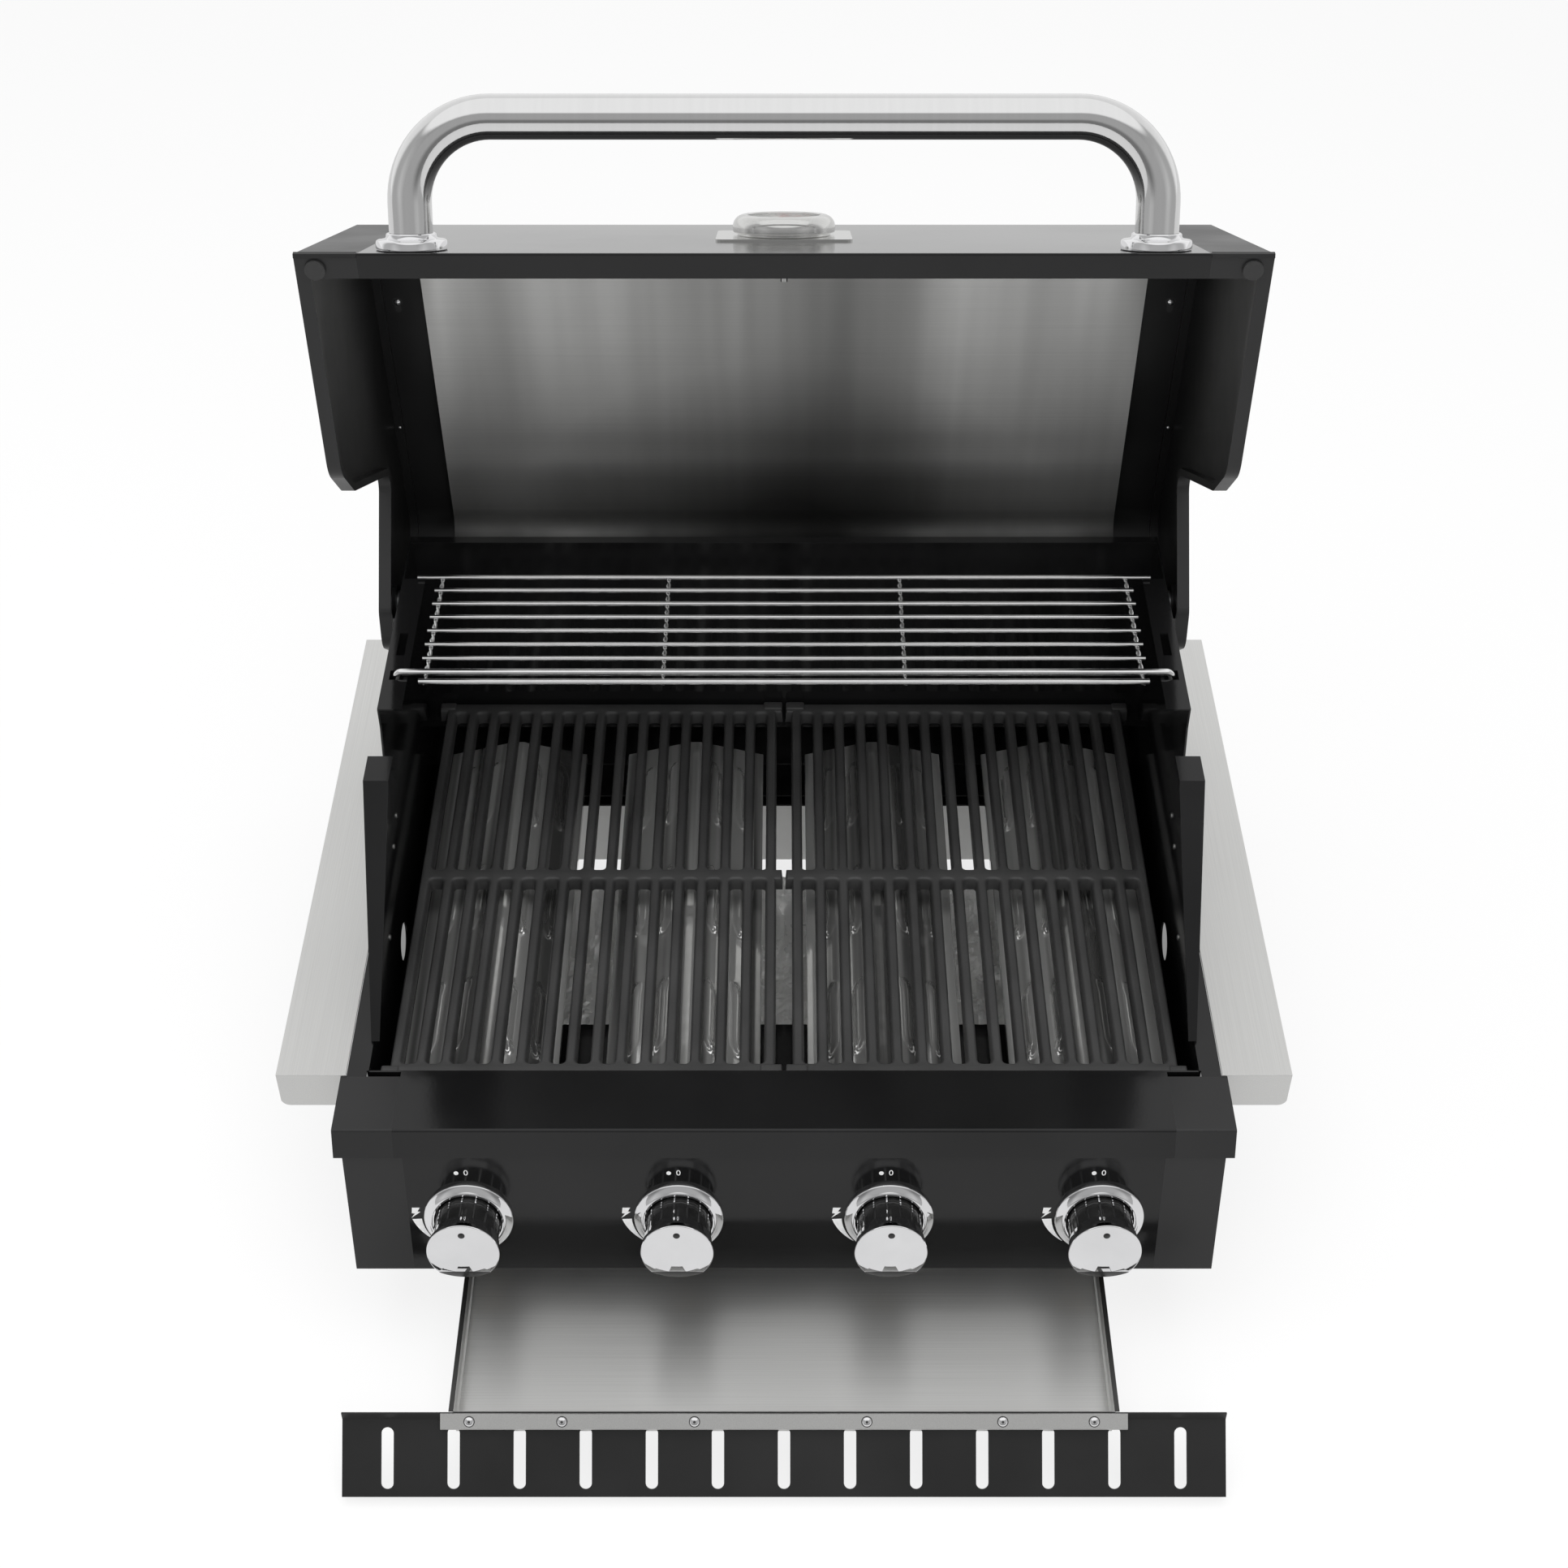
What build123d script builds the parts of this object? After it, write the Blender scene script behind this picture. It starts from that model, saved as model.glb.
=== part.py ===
"""Built in gas grill with four burners, a lifting lid and a slide-out drip tray.

The model is laid out from the back edge of the front ledge: X runs to the
right, Y runs from the front to the back and Z runs up. At rest the lid stands
open and the drip tray is pulled out part of the way. The finished part is
moved so that its origin is the middle of the bottom of its box.
"""
import os
from math import radians, sin, tan

from build123d import *

os.makedirs("parts", exist_ok=True)

# Overall sizes
flange_width = 805.0
flange_depth = 545.0
base_drop = 232.0
flange_side_reach = 51.5
flange_back_reach = 76.5
housing_side_step = 4.5
box_side_step = 20.0
panel_side_step = 6.0
sheet = 1.5
thin_sheet = 1.2
running_gap = 0.3
shaft_gap = 0.08
overrun = 5.0

# Firebox; sizes named from_back are measured from the back of the body
box_front_y = 6.0
box_floor_z = -115.0
side_top_z = 181.0
side_flange_width = 20.0
side_slope_low = (35.0, 2.0)
side_slope_high_from_back = 319.5
ear_foot_share = 0.33
spit_notch_front_from_back = 290.5
spit_notch_back_from_back = 233.5
spit_notch_bottom_z = 118.0
spit_notch_lean = 10.0
side_flange_end_from_back = 60.5
hook_hole_shares = (0.15, 0.75)
lift_slot_shares = (0.3, 0.65)
lift_slot_pitch_shares = (1.4, 3.0)
light_hole_from_back = 274.5
light_hole_z = -50.0
light_hole_radius = 17.0
floor_hole_rim = 58.0
floor_hole_shares = (0.324, 0.93)
back_hem = 7.0

# Outer housing and counter flanges
housing_back_gap = 11.5
housing_front_y = 0.0
housing_foot = 20.0
flange_lip = 37.0
flange_corner_radius = 14.0
flange_screw_radius = 2.6
flange_screw_inset_x = 28.0
flange_screw_inset_y = 72.5

# Front of the body
ledge_front_y = -54.0
band_front_y = -63.0
band_bottom_z = -23.0
panel_top_y = -59.0
panel_bottom_y = -82.0
panel_bottom_z = -144.0
end_cap_width = 47.0
front_bend = 2.5
front_return = 12.0
cap_wall = 2.5
cap_lap = 20.0

# Cooking grates
grate_top_z = -10.0
grate_height = 13.0
grate_front_y = 10.0
grate_back_gap = 3.5
grate_side_gap = 8.0
grate_gap = 2.0
grate_bars = 16
grate_bar_insets = (11.6, 13.0)
grate_bar_width = 6.5
grate_bar_foot = 4.0
grate_front_rail = 13.0
grate_middle_rail = 11.0
grate_back_rail = 14.0
grate_lug = (17.0, 9.0, 4.0)
grate_shelf = 20.0

# Burners, tents and gas train
burner_pitch_share = 0.25196
burner_radius = 14.0
burner_wall = 1.2
burner_z = -86.0
burner_front_y = 14.0
burner_back_gap = 28.5
burner_neck_radius = 9.5
burner_neck_length = 38.0
tent_gap = 38.8
tent_ridge = 9.0
tent_rise = 16.0
tent_edge = 6.0
tent_front_y = 22.0
tent_back_gap = 25.5
tent_z = -62.0
louvre_length = 84.0
louvre_width = 9.0
louvre_height = 4.0
louvre_taper = 35.0
louvre_offset_shares = (0.15625, 0.336)
louvre_row_shares = (0.195, 0.518, 0.841)
manifold_radius = 9.0
jet_radius = 5.0
jet_length = 26.0
inlet_radius = 7.0
inlet_length = 22.0
inlet_reach = 20.0
inlet_nut = 12.0
inlet_nut_radius = 11.5
inlet_relief = (6.0, 1.5)
electrode_radius = 3.5
electrode_length = 30.0

# Knobs
knob_z = -87.0
knob_radius = 28.5
knob_grip_radius = 26.0
knob_length = 34.0
knob_cap = 5.0
knob_lift = 8.0
knob_dimple = (2.5, 1.2)
knob_dimple_share = 0.65
stem_radius = 4.0
stem_hole_radius = 6.0
stem_travel = 3.0
stem_collar_radius = 8.0
bezel_radius = 35.5
bezel_inner_radius = 28.8
bezel_height = 7.0
valve_size = (24.0, 30.0, 26.0)
valve_gap = 10.0

# Warming rack
rack_side_gap = 30.0
rack_back_side_gap = 13.0
rack_wire = 4.0
rack_hook_wire = 6.0
rack_front_wire = 5.0
rack_front_from_back = 201.5
rack_hook_from_back = 190.5
rack_first_from_back = 171.5
rack_pitch = 18.3
rack_wires = 7
rack_cross_shares = (0.983, 0.332)
rack_hook_drop_share = 1.5
wire_sides = 8

# Lid, drawn closed and then opened about its hinge
hinge_from_back = 45.5
hinge_z = 144.0
hinge_pin_radius = 5.0
lid_open = 90.0
lid_front_y = -3.0
lid_bottom_z = 3.0
lid_brow = (113.0, 255.0)
lid_crown_from_back = 28.5
lid_crown_z = 288.0
lid_back_reach = 13.5
lid_back_z = 240.0
lid_back_bottom_z = 200.0
lid_brow_radius = 26.0
lid_crown_radius = 34.0
lid_skin = 1.2
lid_lip = 20.0
lid_end_width = 45.0
lid_end_thick = 10.5
lid_end_skin = 3.0
lid_rim = 6.0
lid_rim_end_from_back = 280.5
lid_rim_step_from_back = 239.5
lid_rim_step_z = 39.0
lid_arch_from_back = 151.5
lid_arch_z = 188.0
lid_arm_from_back = 63.5
lid_arm_z = 105.0
lid_arm_radius = 45.0
lid_arm_shares = (0.35, 1.1, 0.2)
lid_arm_boss_radius = 15.0
lid_end_radii = (20.0, 20.0, 14.0, 14.0, 20.0, 30.0)
liner_gap = 10.0
bumper_radius = 7.5
bumper_inset_x = 14.5
bumper_y = 9.4

# Handle and thermometer
handle_radius = 16.0
handle_wall = 1.5
handle_bend = 60.0
handle_reach = 93.0
handle_side_room = 80.0
handle_up_face = 35.0
boss_radius = 26.0
boss_height = 12.0
boss_step_shares = ((1.0, 0.33), (0.92, 0.6), (0.86, 1.0))
gauge_up_face = 145.0
gauge_radius = 36.0
gauge_height = 17.0
gauge_wall = 4.0
gauge_step_shares = ((1.0, 0.55), (0.9, 0.72), (0.8, 1.0))
gauge_plate = (104.0, 84.0, 1.5)
gauge_stem_radius = 3.0
gauge_stem_length = 34.0

# Drip tray, drawn pulled out as it stands at rest
tray_pull = 114.0
tray_back_gap = 3.5
tray_side_room = 87.0
tray_rim_z = -170.0
tray_depth = 28.0
tray_flange = 9.0
tray_face_drop = 43.0
tray_face_lean = 42.0
tray_face_lip = 6.0
slot_count = 13
slot_pitch_share = 0.07478
slot_width = 9.6
slot_length = 48.0
tray_strip = 8.0
screw_radius = 3.6
screw_head = 2.0
tray_screw_xs_shares = (-0.475, -0.335, -0.135, 0.125, 0.33, 0.468)

# Values worked out from the sizes above
half_body = flange_width / 2 - flange_side_reach
half_box = half_body - box_side_step
half_housing = half_body - housing_side_step
half_panel = half_body - panel_side_step
panel_top_z = band_bottom_z
rack_z = side_top_z + running_gap + rack_wire / 2
box_back_y = flange_depth - flange_back_reach
box_depth = box_back_y - box_front_y
housing_back_y = box_back_y + housing_back_gap
base_z = -base_drop
side_slope_high_y = box_back_y - side_slope_high_from_back
spit_notch_front_y = box_back_y - spit_notch_front_from_back
spit_notch_back_y = box_back_y - spit_notch_back_from_back
side_flange_end_y = box_back_y - side_flange_end_from_back
light_hole_y = box_back_y - light_hole_from_back
grate_back_y = box_back_y - grate_back_gap
burner_back_y = box_back_y - burner_back_gap
burner_pitch = half_box * 2 * burner_pitch_share
tent_width = burner_pitch - tent_gap
tent_back_y = box_back_y - tent_back_gap
tent_length = tent_back_y - tent_front_y
rack_half_width = half_box - rack_side_gap
rack_back_half_width = half_box - rack_back_side_gap
rack_front_y = box_back_y - rack_front_from_back
rack_hook_y = box_back_y - rack_hook_from_back
rack_first_y = box_back_y - rack_first_from_back
hinge_y = box_back_y - hinge_from_back
lid_crown = (box_back_y - lid_crown_from_back, lid_crown_z)
lid_back = (box_back_y + lid_back_reach, lid_back_z)
handle_half_span = half_body - handle_side_room
tray_half = half_panel - tray_side_room
tray_front_y = panel_bottom_y - tray_pull
tray_back_y = housing_back_y - sheet - tray_back_gap - tray_pull
cap_inner_x = half_body - end_cap_width
lid_inner_x = half_body - lid_end_width
burner_xs = [burner_pitch * (i - 1.5) for i in range(4)]
places = ("left", "centre_left", "centre_right", "right")

nodes = {}


def rounded_outline(points, radii):
    """A closed face in XY through the points, each corner rounded by its radius."""
    vectors = [Vector(x, y) for x, y in points]
    count = len(vectors)
    starts, ends, arcs = [], [], []
    for i, corner in enumerate(vectors):
        before = (vectors[i - 1] - corner).normalized()
        after = (vectors[(i + 1) % count] - corner).normalized()
        half = radians(before.get_angle(after)) / 2
        if not radii[i]:
            starts.append(corner)
            ends.append(corner)
            arcs.append(None)
            continue
        reach = radii[i] / tan(half)
        middle = corner + (before + after).normalized() * (radii[i] / sin(half) - radii[i])
        starts.append(corner + before * reach)
        ends.append(corner + after * reach)
        arcs.append(middle)
    edges = []
    for i in range(count):
        if arcs[i] is not None:
            edges.append(ThreePointArc(starts[i], arcs[i], ends[i]))
        edges.append(Line(ends[i], starts[(i + 1) % count]))
    face = make_face(edges).face()
    return face if face.normal_at().Z > 0 else -face


def side_profile(points, x_low, x_high, radii=None):
    """A solid from x_low to x_high whose outline is drawn in (Y, Z)."""
    radii = radii or [0] * len(points)
    face = rounded_outline(points, radii)
    return extrude(Plane.YZ.offset(x_low) * face, amount=x_high - x_low)


def front_profile(points, y_low, y_high, radii=None):
    """A solid from y_low to y_high whose outline is drawn in (X, Z)."""
    radii = radii or [0] * len(points)
    face = rounded_outline(points, radii)
    plane = Plane(origin=(0, y_low, 0), x_dir=(1, 0, 0), z_dir=(0, -1, 0))
    return extrude(plane * face, amount=y_low - y_high)


def slab(x_low, x_high, y_low, y_high, z_low, z_high):
    """A flat sheet or bar between two corners."""
    size = (x_high - x_low, y_high - y_low, z_high - z_low)
    middle = ((x_low + x_high) / 2, (y_low + y_high) / 2, (z_low + z_high) / 2)
    return Pos(*middle) * Box(*size)


def offset_path(points, distance):
    """The open path moved sideways to its left, with mitred corners."""
    moved = []
    vectors = [Vector(x, y) for x, y in points]
    for i, point in enumerate(vectors):
        runs = []
        if i > 0:
            runs.append((point - vectors[i - 1]).normalized())
        if i < len(vectors) - 1:
            runs.append((vectors[i + 1] - point).normalized())
        normals = [Vector(-run.Y, run.X) for run in runs]
        total = sum(normals, Vector(0, 0))
        bisector = total.normalized()
        place = point + bisector * (distance / bisector.dot(normals[0]))
        moved.append((place.X, place.Y))
    return moved


def bent_sheet(path, thickness, x_low, x_high, radii=None):
    """Sheet metal bent along a (Y, Z) path, thickened to the left of the path."""
    radii = radii or [0] * len(path)
    inner = offset_path(path, thickness)
    inner_radii = []
    for i, radius in enumerate(radii):
        if not radius:
            inner_radii.append(0)
            continue
        turn = cross_turn(path, i)
        inner_radii.append(radius - thickness if turn > 0 else radius + thickness)
    points = list(path) + inner[::-1]
    return side_profile(points, x_low, x_high, list(radii) + inner_radii[::-1])


def cross_turn(path, i):
    """Positive where the path turns left at its corner i."""
    before = Vector(*path[i]) - Vector(*path[i - 1])
    after = Vector(*path[i + 1]) - Vector(*path[i])
    return before.X * after.Y - before.Y * after.X


def rod(start, end, radius):
    """A round bar between two points."""
    start, end = Vector(*start), Vector(*end)
    run = end - start
    return extrude(Plane(origin=start, z_dir=run) * Circle(radius), amount=run.length)


def mirrored(solid):
    return mirror(solid, Plane.YZ)


def pair(name, right_solid):
    """The same piece on the right and, mirrored, on the left."""
    nodes[name + "_right"] = right_solid
    nodes[name + "_left"] = mirrored(right_solid)


# Firebox
def firebox_side():
    """One side wall: sloped front ear, notch for a spit rod and a raised rear shoulder."""
    x_out = half_box
    x_in = half_box - sheet
    outline = [
        (box_front_y, box_floor_z),
        (box_back_y - sheet, box_floor_z),
        (box_back_y - sheet, side_top_z),
        (spit_notch_back_y, side_top_z),
        (spit_notch_back_y, side_top_z - side_flange_width),
        (spit_notch_back_y - spit_notch_lean, spit_notch_bottom_z),
        (spit_notch_front_y, spit_notch_bottom_z),
        (spit_notch_front_y, side_top_z),
        (side_slope_high_y, side_top_z),
        side_slope_low,
        (side_slope_low[0], 0),
        (box_front_y, 0),
    ]
    wall = side_profile(outline, x_in, x_out)
    hole = rod((x_in - overrun, light_hole_y, light_hole_z),
               (x_out + overrun, light_hole_y, light_hole_z), light_hole_radius)
    wall -= hole
    flange_x = x_out - side_flange_width
    shoulder = slab(flange_x, x_out, spit_notch_back_y, side_flange_end_y,
                    side_top_z - sheet, side_top_z)
    hook_low, hook_high = hook_hole_shares
    hook_hole = slab(flange_x + side_flange_width * hook_low, flange_x + side_flange_width * hook_high,
                     rack_hook_y - rack_hook_wire, rack_hook_y + rack_hook_wire,
                     side_top_z - overrun, side_top_z + overrun)
    lift_low, lift_high = lift_slot_shares
    lift_front, lift_back = lift_slot_pitch_shares
    lift_slot = slab(flange_x + side_flange_width * lift_low, flange_x + side_flange_width * lift_high,
                     rack_hook_y + rack_pitch * lift_front, rack_hook_y + rack_pitch * lift_back,
                     side_top_z - overrun, side_top_z + overrun)
    return wall + (shoulder - hook_hole - lift_slot) + ear_flange(x_out)


def ear_flange(x_out):
    """The turned edge of the ear: narrow at its foot and full width at its top."""
    low_y, low_z = side_slope_low
    path = [(spit_notch_front_y, side_top_z), (side_slope_high_y, side_top_z), (low_y, low_z)]
    flange = bent_sheet(path, sheet, x_out - side_flange_width, x_out)
    x_far = x_out - side_flange_width - overrun
    x_foot = x_out - side_flange_width * ear_foot_share
    taper = front_profile(
        [(x_far, low_z - overrun), (x_foot, low_z - overrun), (x_foot, low_z),
         (x_out - side_flange_width, side_top_z - overrun), (x_far, side_top_z - overrun)],
        low_y - overrun, spit_notch_front_y)
    return flange - taper


def firebox_front():
    """Front wall with a rest for the grates and a lower rest for the tents."""
    x_high = half_box - sheet
    path = [
        (box_front_y + grate_shelf, grate_top_z - grate_height),
        (box_front_y, grate_top_z - grate_height),
        (box_front_y, box_floor_z),
    ]
    shelf = bent_sheet(path, sheet, -x_high, x_high)
    lip = slab(-x_high, x_high, box_front_y, box_front_y + sheet,
               grate_top_z - grate_height - sheet, -sheet)
    tongue = slab(-cap_inner_x, cap_inner_x, -front_return, box_front_y + sheet, -sheet * 2, -sheet)
    wall = shelf + lip + tongue
    rest = slab(-x_high, x_high, box_front_y + sheet, tent_front_y + tent_edge,
                tent_z - sheet, tent_z)
    wall += rest
    for x in burner_xs:
        wall -= rod((x, box_front_y - overrun, burner_z), (x, box_front_y + overrun, burner_z),
                    burner_neck_radius + running_gap)
    return wall


def firebox_back():
    """Back wall with its hemmed top edge and the rear rests."""
    x_high = half_box - sheet
    inner_y = box_back_y - sheet
    wall = slab(-half_box, half_box, inner_y, box_back_y, box_floor_z, side_top_z)
    wall += slab(-x_high, x_high, inner_y - back_hem, inner_y, side_top_z - sheet, side_top_z)
    wall += slab(-x_high, x_high, inner_y - grate_shelf, inner_y,
                 grate_top_z - grate_height - sheet, grate_top_z - grate_height)
    wall += slab(-x_high, x_high, tent_back_y - tent_edge, inner_y, tent_z - sheet, tent_z)
    rest_z = burner_z - burner_radius - running_gap
    wall += slab(-x_high, x_high, burner_back_y - tent_edge, inner_y, rest_z - sheet, rest_z)
    return wall


def firebox_floor():
    """Floor with the opening that lets grease fall to the drip tray."""
    floor = slab(-half_box, half_box, box_front_y, box_back_y, box_floor_z - sheet, box_floor_z)
    x_high = tray_half - floor_hole_rim
    y_low, y_high = [box_front_y + box_depth * share for share in floor_hole_shares]
    hole = slab(-x_high, x_high, y_low, y_high, box_floor_z - overrun, box_floor_z + overrun)
    return floor - hole


pair("firebox_side", firebox_side())
nodes["firebox_front"] = firebox_front()
nodes["firebox_back"] = firebox_back()
nodes["firebox_floor"] = firebox_floor()


# Outer housing
def housing_side():
    """Housing side: a ledge at the top, a long wall and a foot at the bottom."""
    wall = slab(half_housing - sheet, half_housing, housing_front_y, housing_back_y, base_z, 0)
    ledge = slab(half_box, half_housing, housing_front_y, housing_back_y, -sheet, 0)
    foot = slab(half_housing - housing_foot, half_housing, housing_front_y, housing_back_y,
                base_z, base_z + sheet)
    return wall + ledge + foot


def counter_flange():
    """Stainless strip that hangs on the counter: top, front lip and outer lip."""
    x_out = flange_width / 2
    top = slab(half_housing, x_out, 0, flange_depth, 0, sheet)
    corners = [e for e in top.edges().filter_by(Axis.Z) if e.center().X > half_housing + overrun]
    top = fillet(corners, flange_corner_radius)
    front = slab(half_housing, x_out - flange_corner_radius, 0, sheet, -flange_lip, 0)
    side = slab(x_out - sheet, x_out, flange_corner_radius, flange_depth - flange_corner_radius,
                -flange_lip, 0)
    root = slab(half_housing, half_housing + sheet, 0, housing_back_y, -housing_foot, 0)
    flange = top + front + side + root
    for y in screw_ys():
        x = x_out - flange_screw_inset_x
        flange -= rod((x, y, -overrun), (x, y, overrun), flange_screw_radius)
    return flange


def screw_ys():
    return (flange_screw_inset_y, flange_depth - flange_screw_inset_y)


pair("housing_side", housing_side())
pair("counter_flange", counter_flange())
nodes["housing_back"] = slab(
    -half_housing + sheet, half_housing - sheet, housing_back_y - sheet, housing_back_y,
    base_z + sheet, -sheet
)


# Front of the body
def panel_normal():
    """Unit vector (Y, Z) that points out of the sloping control panel."""
    run = Vector(panel_bottom_y - panel_top_y, panel_bottom_z - panel_top_z).normalized()
    return Vector(0, run.Y, -run.X)


def front_path():
    return [
        (0, 0),
        (ledge_front_y, 0),
        (band_front_y, band_bottom_z),
        (band_front_y + front_return, band_bottom_z),
    ]


def fascia():
    """Folded sheet that makes the ledge and the plain band below it."""
    return bent_sheet(front_path(), sheet, -cap_inner_x, cap_inner_x, [0, front_bend, 0, 0])


def panel_path():
    return [
        (panel_top_y + front_return, panel_top_z),
        (panel_top_y, panel_top_z),
        (panel_bottom_y, panel_bottom_z),
        (panel_bottom_y + front_return, panel_bottom_z),
    ]


def panel_face_point(z):
    share = (z - panel_top_z) / (panel_bottom_z - panel_top_z)
    return panel_top_y + (panel_bottom_y - panel_top_y) * share


def control_panel():
    """Sloping panel with a hole for each valve stem."""
    x_high = half_panel - end_cap_width
    panel = bent_sheet(panel_path(), sheet, -x_high, x_high, [0, front_bend, front_bend, 0])
    normal = panel_normal()
    for x in burner_xs:
        face = Vector(x, panel_face_point(knob_z), knob_z)
        panel -= rod(face - normal * overrun, face + normal * overrun, stem_hole_radius)
    return panel


def end_cap():
    """Cast end of the front: a hollow step, shaped as the fascia above and the panel below."""
    inner = cap_wall
    x_low = half_panel - end_cap_width
    cap = side_profile(
        [(0, 0), (ledge_front_y, 0), (band_front_y, band_bottom_z), (0, band_bottom_z)],
        cap_inner_x, half_body, [0, front_bend, 0, 0])
    cap += side_profile(
        [(cap_lap, panel_top_z), (panel_top_y, panel_top_z), (panel_bottom_y, panel_bottom_z),
         (cap_lap, panel_bottom_z)],
        x_low, half_panel, [0, 0, front_bend, 0])
    floor_z = band_bottom_z + inner
    cap -= side_profile(
        [(-inner, -inner), (ledge_front_y + inner, -inner), (band_front_y + inner, floor_z),
         (-inner, floor_z)],
        cap_inner_x - overrun, half_body - inner)
    low_z = panel_bottom_z - overrun
    cap -= side_profile(
        [(cap_lap + overrun, floor_z), (panel_top_y + inner, floor_z), (panel_top_y + inner, panel_top_z),
         (panel_face_point(low_z) + inner, low_z), (cap_lap + overrun, low_z)],
        x_low - overrun, half_panel - inner)
    return cap


nodes["fascia"] = fascia()
nodes["control_panel"] = control_panel()
pair("end_cap", end_cap())


# Gas train
def burner(x):
    """Pipe burner with closed ends, a row of ports down each side and a narrow neck."""
    neck_front = burner_front_y - burner_neck_length
    body = rod((x, burner_front_y, burner_z), (x, burner_back_y, burner_z), burner_radius)
    body += rod((x, neck_front, burner_z), (x, burner_front_y, burner_z), burner_neck_radius)
    body -= rod((x, burner_front_y + burner_wall, burner_z), (x, burner_back_y - burner_wall, burner_z),
                burner_radius - burner_wall)
    body -= rod((x, neck_front - overrun, burner_z), (x, burner_front_y + overrun, burner_z),
                burner_neck_radius - burner_wall)
    return body


def valve_middle(x):
    """Middle of a valve body, straight behind its knob."""
    face = Vector(x, panel_face_point(knob_z), knob_z)
    return face - panel_normal() * (valve_gap + sheet + valve_size[1] / 2)


def manifold_place():
    """Y and Z of the supply pipe, straight below the valves."""
    middle = valve_middle(0)
    normal = panel_normal()
    drop = -normal.Y * valve_size[2] / 2 + normal.Z * valve_size[1] / 2
    return middle.Y, middle.Z - drop - manifold_radius - running_gap


def gas_manifold():
    """Pipe that feeds the four valves."""
    x_end = burner_xs[-1] + valve_size[0]
    y, z = manifold_place()
    return rod((-x_end, y, z), (x_end, y, z), manifold_radius)


def gas_inlet():
    """Elbow at the end of the supply pipe with a hexagon nut and a stub that points down."""
    x_end = burner_xs[-1] + valve_size[0]
    x = x_end + inlet_reach
    y, z = manifold_place()
    elbow = rod((x_end, y, z), (x + manifold_radius, y, z), manifold_radius)
    nut_low = z - manifold_radius - inlet_nut
    nut = extrude(Plane.XY.offset(z) * Pos(x, y) * RegularPolygon(inlet_nut_radius, 6),
                  amount=nut_low - z)
    relief_radius, relief_length = inlet_relief
    stub_z = nut_low - relief_length
    relief = rod((x, y, z), (x, y, stub_z), relief_radius)
    return elbow + nut + relief + rod((x, y, stub_z), (x, y, stub_z - inlet_length), inlet_radius)


def panel_frame(x):
    """Plane on the panel at a knob, with its normal pointing out of the panel."""
    origin = (x, panel_face_point(knob_z), knob_z)
    return Plane(origin=origin, x_dir=(1, 0, 0), z_dir=panel_normal())


def valve(x):
    """Brass valve body bored for its stem, with a collar, a jet and a feed stub."""
    frame = panel_frame(x)
    depth = valve_gap + sheet
    body = frame * Pos(0, 0, -depth - valve_size[1] / 2) * Box(valve_size[0], valve_size[2], valve_size[1])
    body += frame * Pos(0, 0, -sheet - valve_gap / 2) * Cylinder(stem_collar_radius, valve_gap)
    middle = valve_middle(x)
    body += rod((x, middle.Y, burner_z), (x, middle.Y + jet_length, burner_z), jet_radius)
    feed_z = manifold_place()[1] + manifold_radius + running_gap
    body += rod((x, middle.Y, feed_z), (x, middle.Y, middle.Z), jet_radius)
    bore_low = -depth - valve_size[1] / 2
    body -= frame * Pos(0, 0, bore_low / 2) * Cylinder(stem_radius + shaft_gap, -bore_low)
    return body


def valve_stem(x):
    """Stem that runs from the valve through the panel into the knob."""
    frame = panel_frame(x)
    low = -(valve_gap + sheet + valve_size[1] / 2 - stem_travel - running_gap)
    high = knob_lift + knob_length / 2
    stem = frame * Pos(0, 0, (low + high) / 2) * Cylinder(stem_radius, high - low)
    flat = frame * Pos(0, stem_radius * 1.5, high - knob_length / 4) * Box(
        stem_radius * 2, stem_radius, knob_length / 2)
    return stem - flat


def knob(x):
    """Fluted grip with a wide chromed cap, bored for the stem."""
    frame = panel_frame(x)
    grip_length = knob_length - knob_cap
    grip = frame * Pos(0, 0, knob_lift + grip_length / 2) * Cylinder(knob_grip_radius, grip_length)
    cap = frame * Pos(0, 0, knob_lift + grip_length + knob_cap / 2) * Cylinder(knob_radius, knob_cap)
    depth = knob_length / 2 + stem_travel + running_gap
    bore = frame * Pos(0, 0, knob_lift + depth / 2) * Cylinder(stem_radius + shaft_gap, depth)
    dimple = frame * Pos(0, knob_radius * knob_dimple_share, knob_lift + knob_length) * Cylinder(*knob_dimple)
    return grip + cap - bore - dimple


def bezel(x):
    """Chromed ring on the panel round the knob."""
    profile = rounded_outline(
        [(bezel_inner_radius, 0), (bezel_radius, 0), (bezel_radius, bezel_height / 2),
         (bezel_inner_radius, bezel_height)], [0] * 4)
    frame = panel_frame(x)
    return frame * revolve(Plane.XZ * profile, Axis.Z)


def electrode(x):
    """Ceramic igniter rod beside a burner, with its bare wire tip."""
    reach = burner_radius + electrode_radius + running_gap
    y = burner_front_y + electrode_length
    body = rod((x + reach, box_front_y + sheet, burner_z), (x + reach, y, burner_z), electrode_radius)
    tip = rod((x + reach, y, burner_z), (x + reach, y + electrode_length / 2, burner_z),
              electrode_radius / 3)
    return body + tip


for place, x in zip(places, burner_xs):
    nodes["burner_" + place] = burner(x)
    nodes["gas_valve_" + place] = valve(x)
    nodes["valve_stem_" + place] = valve_stem(x)
    nodes["knob_" + place] = knob(x)
nodes["knob_bezels"] = Compound([bezel(x) for x in burner_xs])
nodes["gas_manifold"] = gas_manifold()
nodes["igniter_electrodes"] = Compound([electrode(x) for x in burner_xs])
nodes["gas_inlet"] = gas_inlet()


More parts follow.
